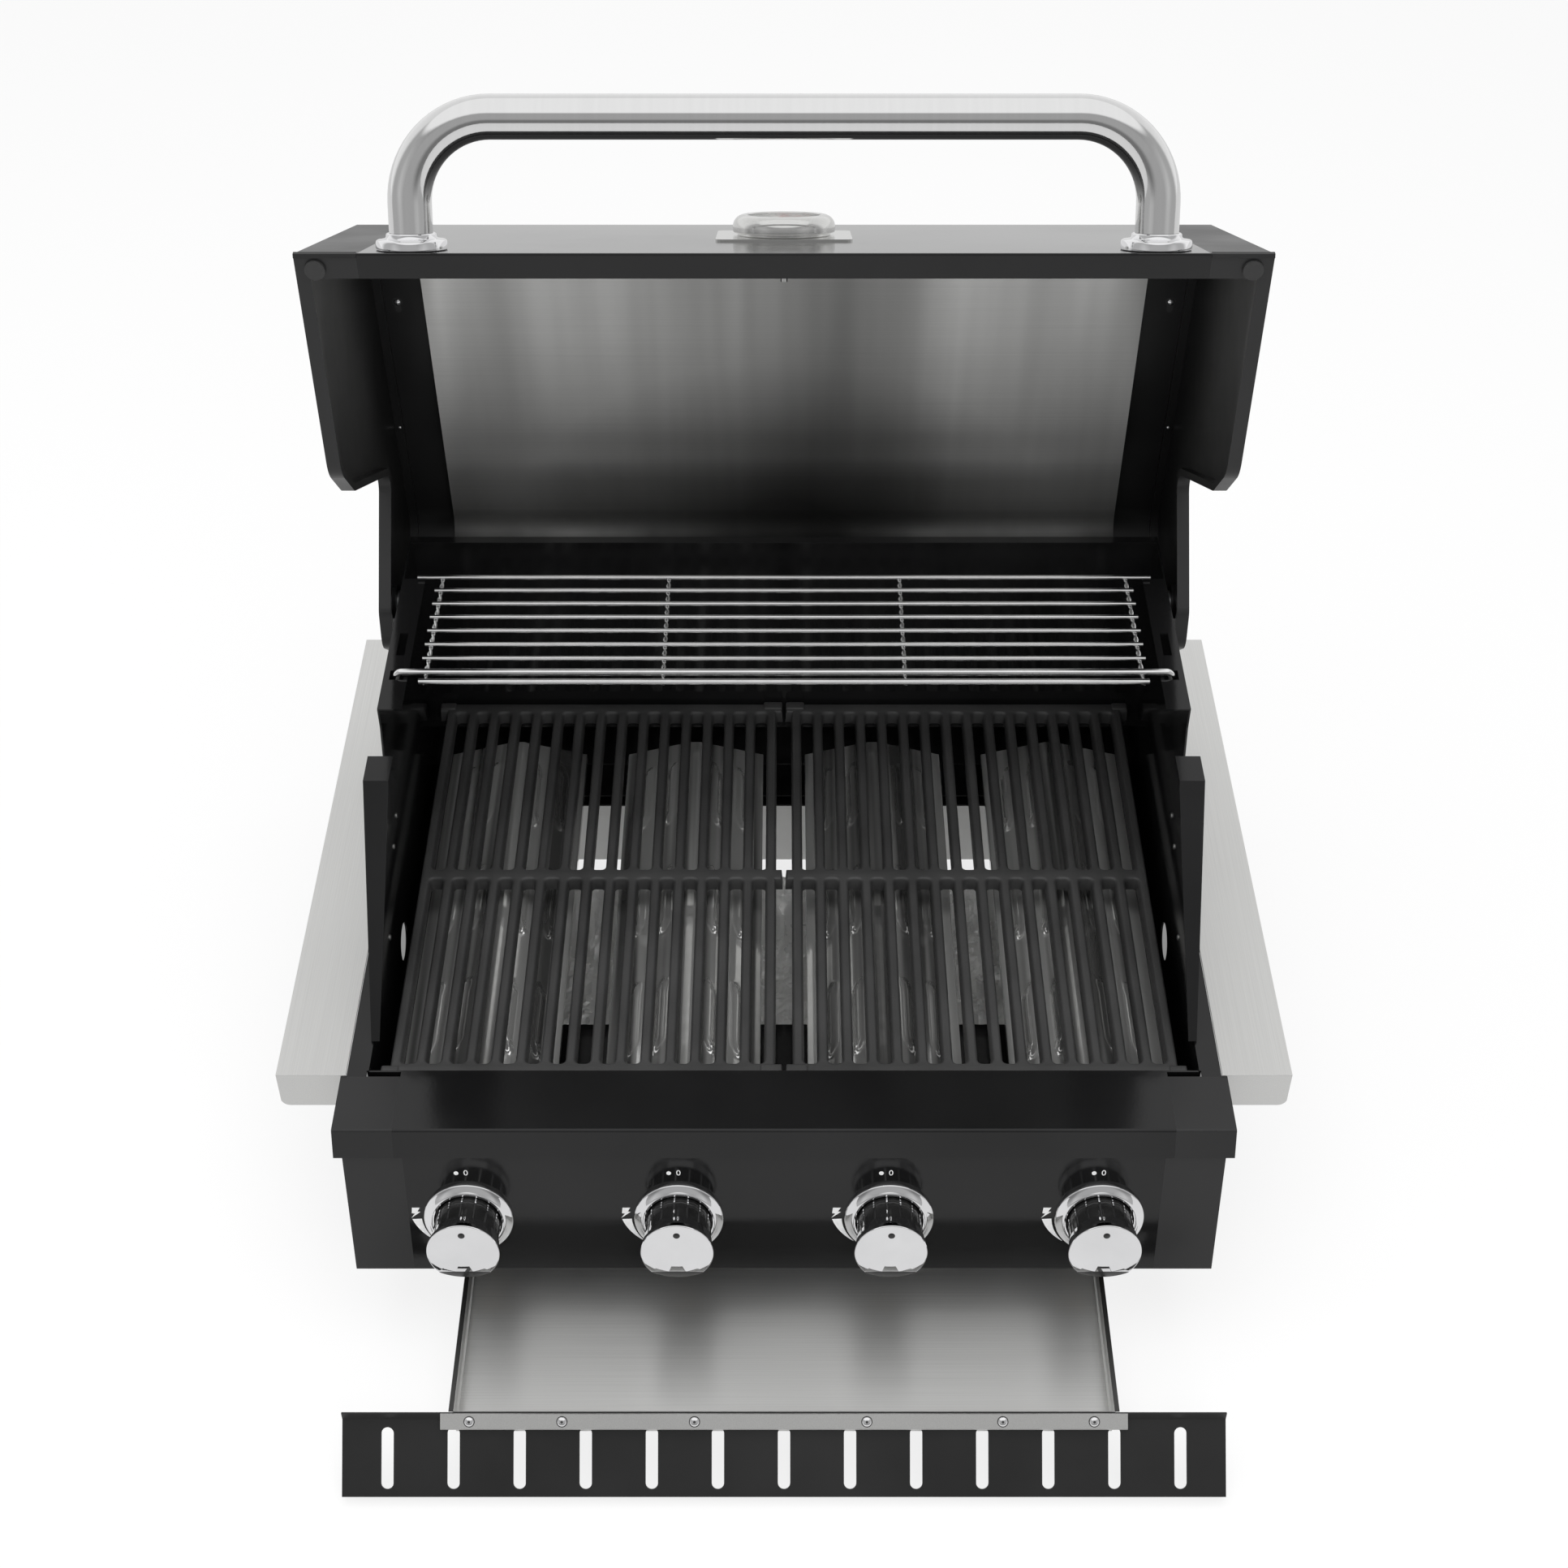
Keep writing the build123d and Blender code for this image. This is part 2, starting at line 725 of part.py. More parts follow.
# Flame tents
def tent_outline(x):
    """Roof-shaped section in (X, Z) with a flat ridge and turned-down edges."""
    half = tent_width / 2
    ridge = tent_ridge / 2
    top = tent_z + tent_edge + tent_rise
    return [(x - half, tent_z), (x - half, tent_z + tent_edge), (x - ridge, top),
            (x + ridge, top), (x + half, tent_z + tent_edge), (x + half, tent_z)]


def flame_tent(x):
    """Folded stainless tent with rows of raised louvres."""
    path = tent_outline(x)
    inner = offset_path(path, -thin_sheet)
    roof = front_profile(path + inner[::-1], tent_front_y, tent_back_y)
    slope = tent_rise / (tent_width / 2 - tent_ridge / 2)
    for side in (-1, 1):
        for offset_share in louvre_offset_shares:
            offset = tent_width * offset_share
            z = tent_z + tent_edge + tent_rise - (offset - tent_ridge / 2) * slope
            for share in louvre_row_shares:
                y = tent_front_y + tent_length * share
                roof += louvre(x + side * offset, y, z, side, slope)
    return roof


def louvre(x, y, z, side, slope):
    """One raised scoop with tapered ends."""
    plane = Plane(origin=(x, y, z - thin_sheet / 2), x_dir=(0, 1, 0), z_dir=(side * slope, 0, 1))
    half = louvre_length / 2
    shoulder = half - louvre_width / 2
    wide = louvre_width / 2
    corners = [(-half, 0), (-shoulder, -wide), (shoulder, -wide), (half, 0), (shoulder, wide),
               (-shoulder, wide)]
    return extrude(plane * rounded_outline(corners, [0] * 6), amount=louvre_height, taper=louvre_taper)


for place, x in zip(places, burner_xs):
    nodes["flame_tent_" + place] = flame_tent(x)


# Cooking grates
def grate_bar(x, y_low, y_high):
    """One cast bar, narrower at its foot."""
    half = grate_bar_width / 2
    foot = grate_bar_foot / 2
    low = grate_top_z - grate_height
    return front_profile(
        [(x - foot, low), (x + foot, low), (x + half, grate_top_z - half / 2),
         (x + half / 2, grate_top_z), (x - half / 2, grate_top_z), (x - half, grate_top_z - half / 2)],
        y_low, y_high)


def cooking_grate():
    """Cast grate for the right half: bars, three rails and corner lugs."""
    x_low = grate_gap / 2
    x_high = half_box - grate_side_gap
    inner_inset, outer_inset = grate_bar_insets
    first = x_low + inner_inset
    last = x_high - outer_inset
    step = (last - first) / (grate_bars - 1)
    grate = None
    for i in range(grate_bars):
        bar = grate_bar(first + i * step, grate_front_y + grate_front_rail / 2,
                        grate_back_y - grate_back_rail / 2)
        grate = bar if grate is None else grate + bar
    middle = (grate_front_y + grate_back_y) / 2
    low = grate_top_z - grate_height
    top = grate_top_z - grate_bar_foot / 2
    rails = (
        (x_high, grate_front_y, grate_front_y + grate_front_rail),
        (last, middle - grate_middle_rail / 2, middle + grate_middle_rail / 2),
        (x_high, grate_back_y - grate_back_rail, grate_back_y),
    )
    for x_end, y_low, y_high in rails:
        grate += slab(x_low, x_end, y_low, y_high, low, top)
    wide, deep, high = grate_lug
    for x in (x_low, x_high - wide):
        grate += slab(x, x + wide, grate_front_y, grate_front_y + deep, low, top + high)
        grate += slab(x, x + wide, grate_back_y - deep, grate_back_y, low, top + high)
    return grate


pair("cooking_grate", cooking_grate())


# Warming rack
def warming_rack():
    """Long wires on four cross wires; the hook wire turns down into the shoulders."""
    half = rack_wire / 2
    rack = None
    for i in range(rack_wires):
        y = rack_first_y + i * rack_pitch
        reach = rack_back_half_width if i == rack_wires - 1 else rack_half_width
        wire = bar((-reach, y, rack_z), (reach, y, rack_z), half)
        rack = wire if rack is None else rack + wire
    rack += bar((-rack_half_width, rack_front_y, rack_z), (rack_half_width, rack_front_y, rack_z),
                rack_front_wire / 2)
    hook_x = half_box - side_flange_width / 2
    hook_z = side_top_z + running_gap + rack_hook_wire / 2
    low_z = side_top_z - rack_hook_wire * rack_hook_drop_share
    hook = FilletPolyline(
        (-hook_x, rack_hook_y, low_z), (-hook_x, rack_hook_y, hook_z), (hook_x, rack_hook_y, hook_z),
        (hook_x, rack_hook_y, low_z), radius=rack_hook_wire)
    section = RegularPolygon(rack_hook_wire / 2, wire_sides)
    rack += sweep(Plane(origin=hook @ 0, z_dir=hook % 0) * section, path=hook)
    back_y = rack_first_y + (rack_wires - 1) * rack_pitch
    for share in rack_cross_shares:
        for x in (-rack_half_width * share, rack_half_width * share):
            rack += bar((x, rack_front_y, rack_z - half), (x, back_y, rack_z - half), half)
    return rack


def bar(start, end, radius):
    """A straight wire, drawn with a few flat sides."""
    start, end = Vector(*start), Vector(*end)
    run = end - start
    section = RegularPolygon(radius, wire_sides)
    return extrude(Plane(origin=start, x_dir=(0, 0, 1), z_dir=run) * section, amount=run.length)


nodes["warming_rack"] = warming_rack()


# Lid
def lid_path():
    """Outer line of the closed lid in (Y, Z), from its front edge to its back edge."""
    return [(lid_front_y, lid_bottom_z), lid_brow, lid_crown, lid_back, (lid_back[0], lid_back_bottom_z)]


lid_radii = [0, lid_brow_radius, lid_crown_radius, 0, 0]


def lid_sheet(inset, thickness, x_low, x_high):
    """Sheet that follows the lid's line at an inset, rounded over brow and crown."""
    path = offset_path(lid_path(), -inset) if inset else lid_path()
    inner = offset_path(path, -thickness)
    radii = [r - inset if r else 0 for r in lid_radii]
    inner_radii = [r - inset - thickness if r else 0 for r in lid_radii]
    return side_profile(path + inner[::-1], x_low, x_high, radii + inner_radii[::-1])


def lid_outer():
    """Enamelled outer skin with its turned-in front lip."""
    skin = lid_sheet(0, lid_skin, -lid_inner_x, lid_inner_x)
    lip = slab(-lid_inner_x, lid_inner_x, lid_front_y, lid_front_y + lid_lip, lid_bottom_z,
               lid_bottom_z + lid_skin)
    upstand = slab(-lid_inner_x, lid_inner_x, lid_front_y + lid_lip - lid_skin, lid_front_y + lid_lip,
                   lid_bottom_z, lid_bottom_z + lid_lip)
    hem = slab(-lid_inner_x, lid_inner_x, lid_back[0] - liner_gap - thin_sheet, lid_back[0],
               lid_back_bottom_z, lid_back_bottom_z + lid_skin)
    return skin + lip + upstand + hem


def lid_end():
    """Cast end of the lid: flat wall, rolled skin band, front corner and hinge arm."""
    heel, tip, rise = [lid_arm_radius * share for share in lid_arm_shares]
    outline = lid_path() + [
        (hinge_y + tip, hinge_z - rise),
        (hinge_y + heel, hinge_z - lid_arm_radius),
        (box_back_y - lid_arm_from_back, lid_arm_z),
        (box_back_y - lid_arch_from_back, lid_arch_z),
        (box_back_y - lid_rim_step_from_back, lid_rim_step_z),
        (box_back_y - lid_rim_end_from_back, lid_bottom_z),
    ]
    face = rounded_outline(outline, lid_radii + list(lid_end_radii))
    x_wall = half_body - lid_end_thick
    wall = extrude(Plane.YZ.offset(x_wall) * face, amount=lid_end_thick)
    pocket = offset(Sketch() + face, amount=-lid_rim)
    wall -= extrude(Plane.YZ.offset(x_wall) * pocket, amount=lid_end_thick - lid_end_skin)
    wall += rod((x_wall, hinge_y, hinge_z), (half_body, hinge_y, hinge_z), lid_arm_boss_radius)
    band = lid_sheet(0, lid_end_skin, lid_inner_x, half_body)
    corner = slab(lid_inner_x, half_body, lid_front_y, lid_front_y + lid_lip, lid_bottom_z,
                  lid_bottom_z + lid_end_skin)
    upstand = slab(lid_inner_x, half_body, lid_front_y + lid_lip - lid_end_skin,
                   lid_front_y + lid_lip, lid_bottom_z, lid_bottom_z + lid_lip)
    end = wall + band + corner + upstand
    end -= rod((x_wall - overrun, hinge_y, hinge_z), (half_body + overrun, hinge_y, hinge_z),
               hinge_pin_radius + shaft_gap)
    return end


def lid_liner():
    """Stainless inner skin, held off the outer skin all round."""
    x_high = lid_inner_x - running_gap
    liner = lid_sheet(liner_gap, thin_sheet, -x_high, x_high)
    y_front = lid_front_y + lid_lip + liner_gap
    front_cut = slab(-x_high, x_high, lid_front_y, y_front, lid_bottom_z - overrun,
                     lid_bottom_z + lid_lip + running_gap)
    back_cut = slab(-x_high, x_high, hinge_y, lid_back[0], lid_back_bottom_z - overrun,
                    lid_back_bottom_z + lid_skin + running_gap)
    return liner - front_cut - back_cut


def face_frame(x, up_face):
    """Plane on the front face of the closed lid, with its normal pointing out."""
    low = Vector(0, lid_front_y, lid_bottom_z)
    run = (Vector(0, *lid_brow) - low).normalized()
    normal = Vector(0, -run.Z, run.Y)
    origin = low + run * up_face + Vector(x, 0, 0)
    return Plane(origin=origin, x_dir=(1, 0, 0), z_dir=normal)


def lid_handle():
    """One bent tube that stands on two bosses."""
    frame = face_frame(0, handle_up_face)
    path = frame * FilletPolyline(
        (-handle_half_span, 0, boss_height), (-handle_half_span, 0, handle_reach),
        (handle_half_span, 0, handle_reach), (handle_half_span, 0, boss_height), radius=handle_bend)
    ring = Circle(handle_radius) - Circle(handle_radius - handle_wall)
    return sweep(Plane(origin=path @ 0, z_dir=path % 0) * ring, path=path)


def handle_boss(side):
    """Stepped boss under one end of the handle."""
    profile = rounded_outline(
        [(0, 0), (boss_radius, 0)]
        + [(boss_radius * across, boss_height * up) for across, up in boss_step_shares]
        + [(0, boss_height)],
        [0] * 6)
    return face_frame(side * handle_half_span, handle_up_face) * revolve(Plane.XZ * profile, Axis.Z)


def gauge_case():
    """Thermometer case on its plate, open at the front for the dial, with its probe."""
    frame = face_frame(0, gauge_up_face)
    wide, tall, thick = gauge_plate
    plate = frame * Pos(0, 0, thick / 2) * Box(wide, tall, thick)
    profile = rounded_outline(
        [(0, thick), (gauge_radius, thick)]
        + [(gauge_radius * across, gauge_height * up) for across, up in gauge_step_shares]
        + [(gauge_radius - gauge_wall * 2, gauge_height - gauge_wall * 2),
           (0, gauge_height - gauge_wall * 2)],
        [0] * 7)
    case = frame * revolve(Plane.XZ * profile, Axis.Z)
    pivot_hole = frame * Pos(0, 0, gauge_height - gauge_wall * 3) * Cylinder(
        gauge_stem_radius / 2 + shaft_gap, gauge_wall * 3)
    return plate + case - pivot_hole


def gauge_needle():
    """Pointer and its pivot."""
    frame = face_frame(0, gauge_up_face)
    level = gauge_height - gauge_wall * 2 + running_gap
    hub = frame * Pos(0, 0, level + gauge_wall / 4) * Cylinder(gauge_stem_radius, gauge_wall / 2)
    pivot = frame * Pos(0, 0, level - gauge_wall / 2) * Cylinder(gauge_stem_radius / 2, gauge_wall)
    reach = gauge_radius - gauge_wall * 3
    blade = frame * Pos(-reach / 2, 0, level + gauge_wall / 8) * Box(reach, gauge_wall / 2, gauge_wall / 4)
    return hub + pivot + blade


def gauge_probe():
    frame = face_frame(0, gauge_up_face)
    return frame * Pos(0, 0, -gauge_stem_length / 2) * Cylinder(gauge_stem_radius, gauge_stem_length)


def lid_bumpers():
    """Rubber stops under the front corners of the lid."""
    x = half_body - bumper_inset_x
    bumper = rod((x, bumper_y, running_gap), (x, bumper_y, lid_bottom_z), bumper_radius)
    return Compound([bumper, mirrored(bumper)])


lid_parts = {
    "lid_skin": lid_outer(),
    "lid_end_right": lid_end(),
    "lid_end_left": mirrored(lid_end()),
    "lid_liner": lid_liner(),
    "lid_handle": lid_handle(),
    "handle_bosses": Compound([handle_boss(-1), handle_boss(1)]),
    "thermometer_case": gauge_case(),
    "thermometer_needle": gauge_needle(),
    "thermometer_probe": gauge_probe(),
    "lid_bumpers": lid_bumpers(),
}
probe_hole_radius = gauge_stem_radius + running_gap
probe_cutter = face_frame(0, gauge_up_face) * Pos(0, 0, -liner_gap) * Cylinder(
    probe_hole_radius, liner_gap * 4)
for name in ("lid_skin", "lid_liner"):
    lid_parts[name] -= probe_cutter
opened = Pos(0, hinge_y, hinge_z) * Rot(-lid_open, 0, 0) * Pos(0, -hinge_y, -hinge_z)
for name, solid in lid_parts.items():
    nodes[name] = opened * solid


def hinge_pin(side):
    """Shouldered pin from the firebox side through the lid's arm."""
    pin = rod((side * half_box, hinge_y, hinge_z), (side * half_body, hinge_y, hinge_z),
              hinge_pin_radius)
    collar_end = half_body - lid_end_thick - running_gap
    collar = rod((side * half_box, hinge_y, hinge_z), (side * collar_end, hinge_y, hinge_z),
                 hinge_pin_radius * 2)
    return pin + collar


nodes["hinge_pins"] = Compound([hinge_pin(-1), hinge_pin(1)])


# Drip tray
def tray_pan():
    """Folded pan with side rims that hang on the runners."""
    half = tray_half
    back = tray_back_y
    low = tray_rim_z - tray_depth
    outer = slab(-half, half, tray_front_y, back, low, tray_rim_z)
    inner = slab(-half + thin_sheet, half - thin_sheet, tray_front_y + thin_sheet, back - thin_sheet,
                 low + thin_sheet, tray_rim_z + overrun)
    pan = outer - inner
    for side in (-1, 1):
        x_low, x_high = sorted((side * half, side * (half + tray_flange)))
        pan += slab(x_low, x_high, tray_front_y + tray_flange, back, tray_rim_z - thin_sheet, tray_rim_z)
    return pan


def tray_face_run():
    """Unit vector down the leaning face of the tray."""
    lean = Vector(0, -tray_face_lean, -tray_face_drop)
    return lean.normalized()


def tray_face():
    """Slotted front that leans out, with a strip at its top and a lip at its bottom."""
    top = (tray_front_y - sheet, tray_rim_z)
    knee = (tray_front_y - sheet, tray_rim_z - tray_strip)
    foot = (knee[0] - tray_face_lean, knee[1] - tray_face_drop)
    path = [top, knee, foot, (foot[0] + tray_face_lip, foot[1] - tray_face_lip)]
    face = bent_sheet(path, sheet, -half_panel, half_panel)
    run = tray_face_run()
    normal = Vector(1, 0, 0).cross(run)
    middle = Vector(0, *knee) + run * ((tray_face_drop ** 2 + tray_face_lean ** 2) ** 0.5 / 2)
    plane = Plane(origin=middle, x_dir=(1, 0, 0), z_dir=normal)
    for i in range(slot_count):
        x = (i - (slot_count - 1) / 2) * half_panel * 2 * slot_pitch_share
        slot = plane * Pos(x, 0) * Rot(0, 0, 90) * SlotOverall(slot_length, slot_width)
        face -= extrude(slot, amount=overrun, both=True)
    return face


def tray_screws():
    """Six domed screws along the strip."""
    screws = []
    z = tray_rim_z - tray_strip / 2
    for share in tray_screw_xs_shares:
        x = share * tray_half * 2
        screws.append(rod((x, tray_front_y - sheet - screw_head, z), (x, tray_front_y - sheet, z),
                          screw_radius))
    return Compound(screws)


def tray_runner(side):
    """Channel that carries one rim of the pan, hung from the firebox floor."""
    x_in = tray_half + running_gap
    x_out = x_in + tray_flange + sheet
    z_low = tray_rim_z - thin_sheet - running_gap - sheet
    y_low = housing_front_y
    y_high = box_back_y
    shelf = slab(x_in, x_out, y_low, y_high, z_low, z_low + sheet)
    wall = slab(x_out - sheet, x_out, box_front_y, y_high, z_low, box_floor_z - sheet)
    wall += slab(x_out - sheet, x_out, y_low, y_high, z_low, z_low + tray_flange)
    top = slab(x_out - sheet, x_out + tray_flange, box_front_y, y_high, box_floor_z - sheet * 2,
               box_floor_z - sheet)
    return shelf + wall + top if side > 0 else mirrored(shelf + wall + top)


nodes["drip_tray_pan"] = tray_pan()
nodes["drip_tray_face"] = tray_face()
nodes["drip_tray_screws"] = tray_screws()
nodes["tray_runners"] = Compound([tray_runner(-1), tray_runner(1)])

# Place the part on the middle of the bottom of its box, then write each node
whole = Compound([part for solid in nodes.values() for part in solid.solids()])
box = whole.bounding_box()
origin = Pos(-(box.min.X + box.max.X) / 2, -(box.min.Y + box.max.Y) / 2, -box.min.Z)
for name, solid in nodes.items():
    export_step(origin * solid, f"parts/{name}.step")
shift = origin.position
print(f"nodes {len(nodes)}, box {box.size.X:.1f} x {box.size.Y:.1f} x {box.size.Z:.1f}")
print(f"moved by {shift.X:.3f}, {shift.Y:.3f}, {shift.Z:.3f}")
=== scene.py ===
"""Built in gas grill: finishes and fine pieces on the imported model."""
import math

import bmesh
import bpy
from bpy.props import FloatProperty, FloatVectorProperty, IntProperty, PointerProperty
from mathutils import Matrix, Vector, noise


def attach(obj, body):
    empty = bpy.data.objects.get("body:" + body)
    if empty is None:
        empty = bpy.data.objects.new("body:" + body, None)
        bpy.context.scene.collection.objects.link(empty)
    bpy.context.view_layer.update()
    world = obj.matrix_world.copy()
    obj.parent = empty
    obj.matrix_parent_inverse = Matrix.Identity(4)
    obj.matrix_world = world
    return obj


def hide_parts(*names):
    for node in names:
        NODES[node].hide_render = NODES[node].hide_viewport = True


bl_info = {
    "name": "Built in gas grill",
    "version": (1, 0, 0),
    "blender": (4, 5, 0),
    "location": "View3D > Sidebar > Grill",
    "description": "Finishes and fine pieces of a built in gas grill",
    "category": "Object",
}

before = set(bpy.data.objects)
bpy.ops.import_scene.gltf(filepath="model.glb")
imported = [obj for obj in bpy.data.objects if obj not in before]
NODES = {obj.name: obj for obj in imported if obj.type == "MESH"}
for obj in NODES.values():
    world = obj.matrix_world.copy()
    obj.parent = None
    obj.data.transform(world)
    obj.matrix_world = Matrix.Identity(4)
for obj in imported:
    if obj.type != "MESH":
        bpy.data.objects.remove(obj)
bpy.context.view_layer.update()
PLACES = ("left", "centre_left", "centre_right", "right")
MM = 0.001
# The grill is laid out from the back edge of its front ledge; this moves that point into the frame.
LAYOUT = Vector((0.0, -162.955, 232.0))
BURNER_XS = (-250.2, -83.4, 83.4, 250.2)
PANEL_NORMAL = Vector((0.0, -0.982408, 0.186739))
KNOB_Y = -71.1653
KNOB_Z = -87.0
LID_RUN = Vector((0.0, 0.908378, -0.418157))
LID_NORMAL = Vector((0.0, 0.418157, 0.908378))
LID_FRONT = Vector((0.0, 282.0, 570.0))
RIGHT = Vector((1.0, 0.0, 0.0))
LINER_HEM_Z = 352.0
TRAY_HALF = 258.0


def at(x, y, z):
    """A layout point in millimetres, in the frame's metres."""
    return (Vector((x, y, z)) + LAYOUT) * MM


def placed(origin, x_axis, normal):
    """Matrix from millimetres on a face (right, up, out) to the frame."""
    y_axis = normal.cross(x_axis)
    turn = Matrix((x_axis, y_axis, normal)).transposed().to_4x4()
    return Matrix.Translation(at(*origin)) @ turn @ Matrix.Scale(MM, 4)


LAYOUT_PLACE = Matrix.Translation(LAYOUT * MM) @ Matrix.Scale(MM, 4)


def knob_place(x):
    return placed((x, KNOB_Y, KNOB_Z), RIGHT, PANEL_NORMAL)


def lid_place(x, up_face):
    """On the outside of the opened lid, up_face millimetres from its front edge."""
    return placed(LID_FRONT + LID_RUN * up_face + RIGHT * x, RIGHT, LID_NORMAL)


# Shaders
class Value:
    """A shader socket that can stand in sums."""

    def __init__(self, finish, socket):
        self.finish = finish
        self.socket = socket

    def maths(self, operation, first, second):
        return self.finish.node("ShaderNodeMath", {"operation": operation}, {0: first, 1: second})

    def __add__(self, other):
        return self.maths("ADD", self, other)

    def __sub__(self, other):
        return self.maths("SUBTRACT", self, other)

    def __rsub__(self, other):
        return self.maths("SUBTRACT", other, self)

    def __mul__(self, other):
        return self.maths("MULTIPLY", self, other)

    def __pow__(self, other):
        return self.maths("POWER", self, other)

    __radd__ = __add__
    __rmul__ = __mul__


class Finish:
    """A node tree under construction; one method adds any node."""

    def __init__(self, tree):
        self.tree = tree
        tree.nodes.clear()

    def node(self, kind, settings=None, inputs=None, output=0):
        made = self.tree.nodes.new(kind)
        for key, setting in (settings or {}).items():
            if key == "stops":
                ramp = made.color_ramp
                while len(ramp.elements) < len(setting):
                    ramp.elements.new(1.0)
                for element, (position, grey) in zip(ramp.elements, setting):
                    element.position = position
                    element.color = (grey, grey, grey, 1)
            else:
                setattr(made, key, setting)
        for key, value in (inputs or {}).items():
            if isinstance(value, Value):
                self.tree.links.new(value.socket, made.inputs[key])
            else:
                made.inputs[key].default_value = value
        return Value(self, made.outputs[output]) if len(made.outputs) else None

    def coords(self, stretch=(1, 1, 1)):
        """Object coordinates in metres, stretched."""
        place = self.node("ShaderNodeTexCoord", output="Object")
        return self.node("ShaderNodeMapping", {}, {"Vector": place, "Scale": stretch})

    def noise(self, scale, detail=3.0, stretch=(1, 1, 1), rough=0.5):
        return self.node("ShaderNodeTexNoise", {}, {
            "Vector": self.coords(stretch), "Scale": scale, "Detail": detail, "Roughness": rough})

    def across(self):
        """Tangent round the grill's left-to-right axis, for steel brushed along that axis."""
        return self.node("ShaderNodeTangent", {"direction_type": "RADIAL", "axis": "X"})

    def place(self, axis):
        """Place along one axis of the object, in metres."""
        place = self.node("ShaderNodeTexCoord", output="Object")
        return self.node("ShaderNodeSeparateXYZ", {}, {0: place}, output=axis)

    def spread(self, value, low, high, from_low=0.3, from_high=0.7):
        """The value's usual span moved to low..high."""
        return self.node("ShaderNodeMapRange", {"clamp": True}, {
            "Value": value, "From Min": from_low, "From Max": from_high, "To Min": low, "To Max": high})

    def tint(self, amount, dark, light):
        return self.node("ShaderNodeMix", {"data_type": "RGBA"}, {
            "Factor": amount, 6: (*dark, 1), 7: (*light, 1)}, output=2)

    def bump(self, height, strength, distance):
        return self.node("ShaderNodeBump", {}, {"Height": height, "Strength": strength, "Distance": distance})

    def surface(self, inputs):
        shader = self.node("ShaderNodeBsdfPrincipled", {}, inputs)
        self.node("ShaderNodeOutputMaterial", {}, {"Surface": shader})


FINISHES = {}


def finish(name):
    """The material of that name, made at its first use."""
    if name not in FINISHES:
        material = bpy.data.materials.new(name)
        material.use_nodes = True
        FINISH_MAKERS[name](Finish(material.node_tree))
        FINISHES[name] = material
    return FINISHES[name]


def shade(colour, factor):
    return tuple(min(1.0, c * factor) for c in colour)


def gloss_enamel(f):
    """Fired black enamel: deep gloss, a trace of orange peel and wiped-on haze."""
    colour = tuple(bpy.context.scene.grill_colours.enamel)
    haze = f.noise(7.0, 4.0)
    peel = f.noise(320.0, 2.0)
    f.surface({
        "Base Color": f.tint(f.spread(haze, 0, 1), shade(colour, 0.7), shade(colour, 1.3)),
        "Roughness": f.spread(haze, 0.07, 0.13),
        "Normal": f.bump(peel, 0.03, 0.0004),
        "Specular IOR Level": 0.37,
    })


def satin_enamel(f):
    """Cast pieces in satin black: fine grain and soft sheen."""
    colour = tuple(bpy.context.scene.grill_colours.satin)
    grain = f.noise(1500.0, 2.0)
    cloud = f.noise(12.0, 4.0)
    f.surface({
        "Base Color": f.tint(f.spread(cloud, 0, 1), shade(colour, 0.88), shade(colour, 1.12)),
        "Roughness": f.spread(cloud, 0.32, 0.42),
        "Normal": f.bump(grain, 0.08, 0.0003),
        "Specular IOR Level": 0.42,
    })


def brushed(f, colour, rough, stretch, turn=0.0, pull=0.0, deep=0.05):
    """Steel with fine lines along the axis that stretch leaves long, and faint smears."""
    lines = f.noise(1.0, 3.0, stretch)
    smear = f.noise(5.0, 3.0)
    f.surface({
        "Base Color": f.tint(f.spread(lines, 0, 1), shade(colour, 0.93), shade(colour, 1.04)),
        "Metallic": 1.0,
        "Roughness": f.spread(lines, rough - 0.04, rough + 0.05) + f.spread(smear, -0.02, 0.03),
        "Normal": f.bump(lines, deep, 0.0002),
        "Anisotropic": pull, "Anisotropic Rotation": turn,
    })


def steel():
    return tuple(bpy.context.scene.grill_colours.steel)


def flange_steel(f):
    brushed(f, shade(steel(), 1.2), 0.42, (1400, 5, 1400), deep=0.02)


def liner_steel(f):
    """Lid lining: brushed across; its colour carries painted reflections and shade: soft upright streaks, a
    dark upright band right of the middle, darker low in the middle, and dark where it turns under.
    """
    lines = f.noise(1.0, 3.0, (5, 1300, 1300))
    # Upright streaks: painted reflections in the colour, and real changes in roughness.
    painted_streak_and_roughness = f.noise(1.0, 3.0, (13, 0.5, 0.8))
    rise = f.place("Z") - LINER_HEM_Z * MM
    aside = f.place("X") * 0.8
    # Painted shade: dark along the hem, and darker low in the middle.
    painted_hem_shade = f.spread(rise, 0.12, 1.0, 0.0, 0.03)
    painted_low_middle_shade = f.spread((aside * aside + rise * rise) ** 0.5, 0.25, 1.0, 0.04, 0.20)
    # Painted reflection: a dark upright band centred 55 mm right of the middle.
    beside = f.place("X") - 0.055
    painted_dark_band = f.spread(beside * beside, 0.6, 1.0, 0.001, 0.009)
    brushing_and_painted_light = f.spread(painted_streak_and_roughness, 0.62, 1.0) * f.spread(lines, 0.94, 1.0) * painted_dark_band * painted_hem_shade * painted_low_middle_shade
    f.surface({
        "Base Color": f.tint(brushing_and_painted_light, (0.0, 0.0, 0.0), shade(steel(), 1.66)),
        "Metallic": 1.0,
        "Roughness": f.spread(painted_streak_and_roughness, 0.46, 0.36),
        "Normal": f.bump(lines, 0.03, 0.0002),
        "Anisotropic": 0.85, "Tangent": f.across(),
    })


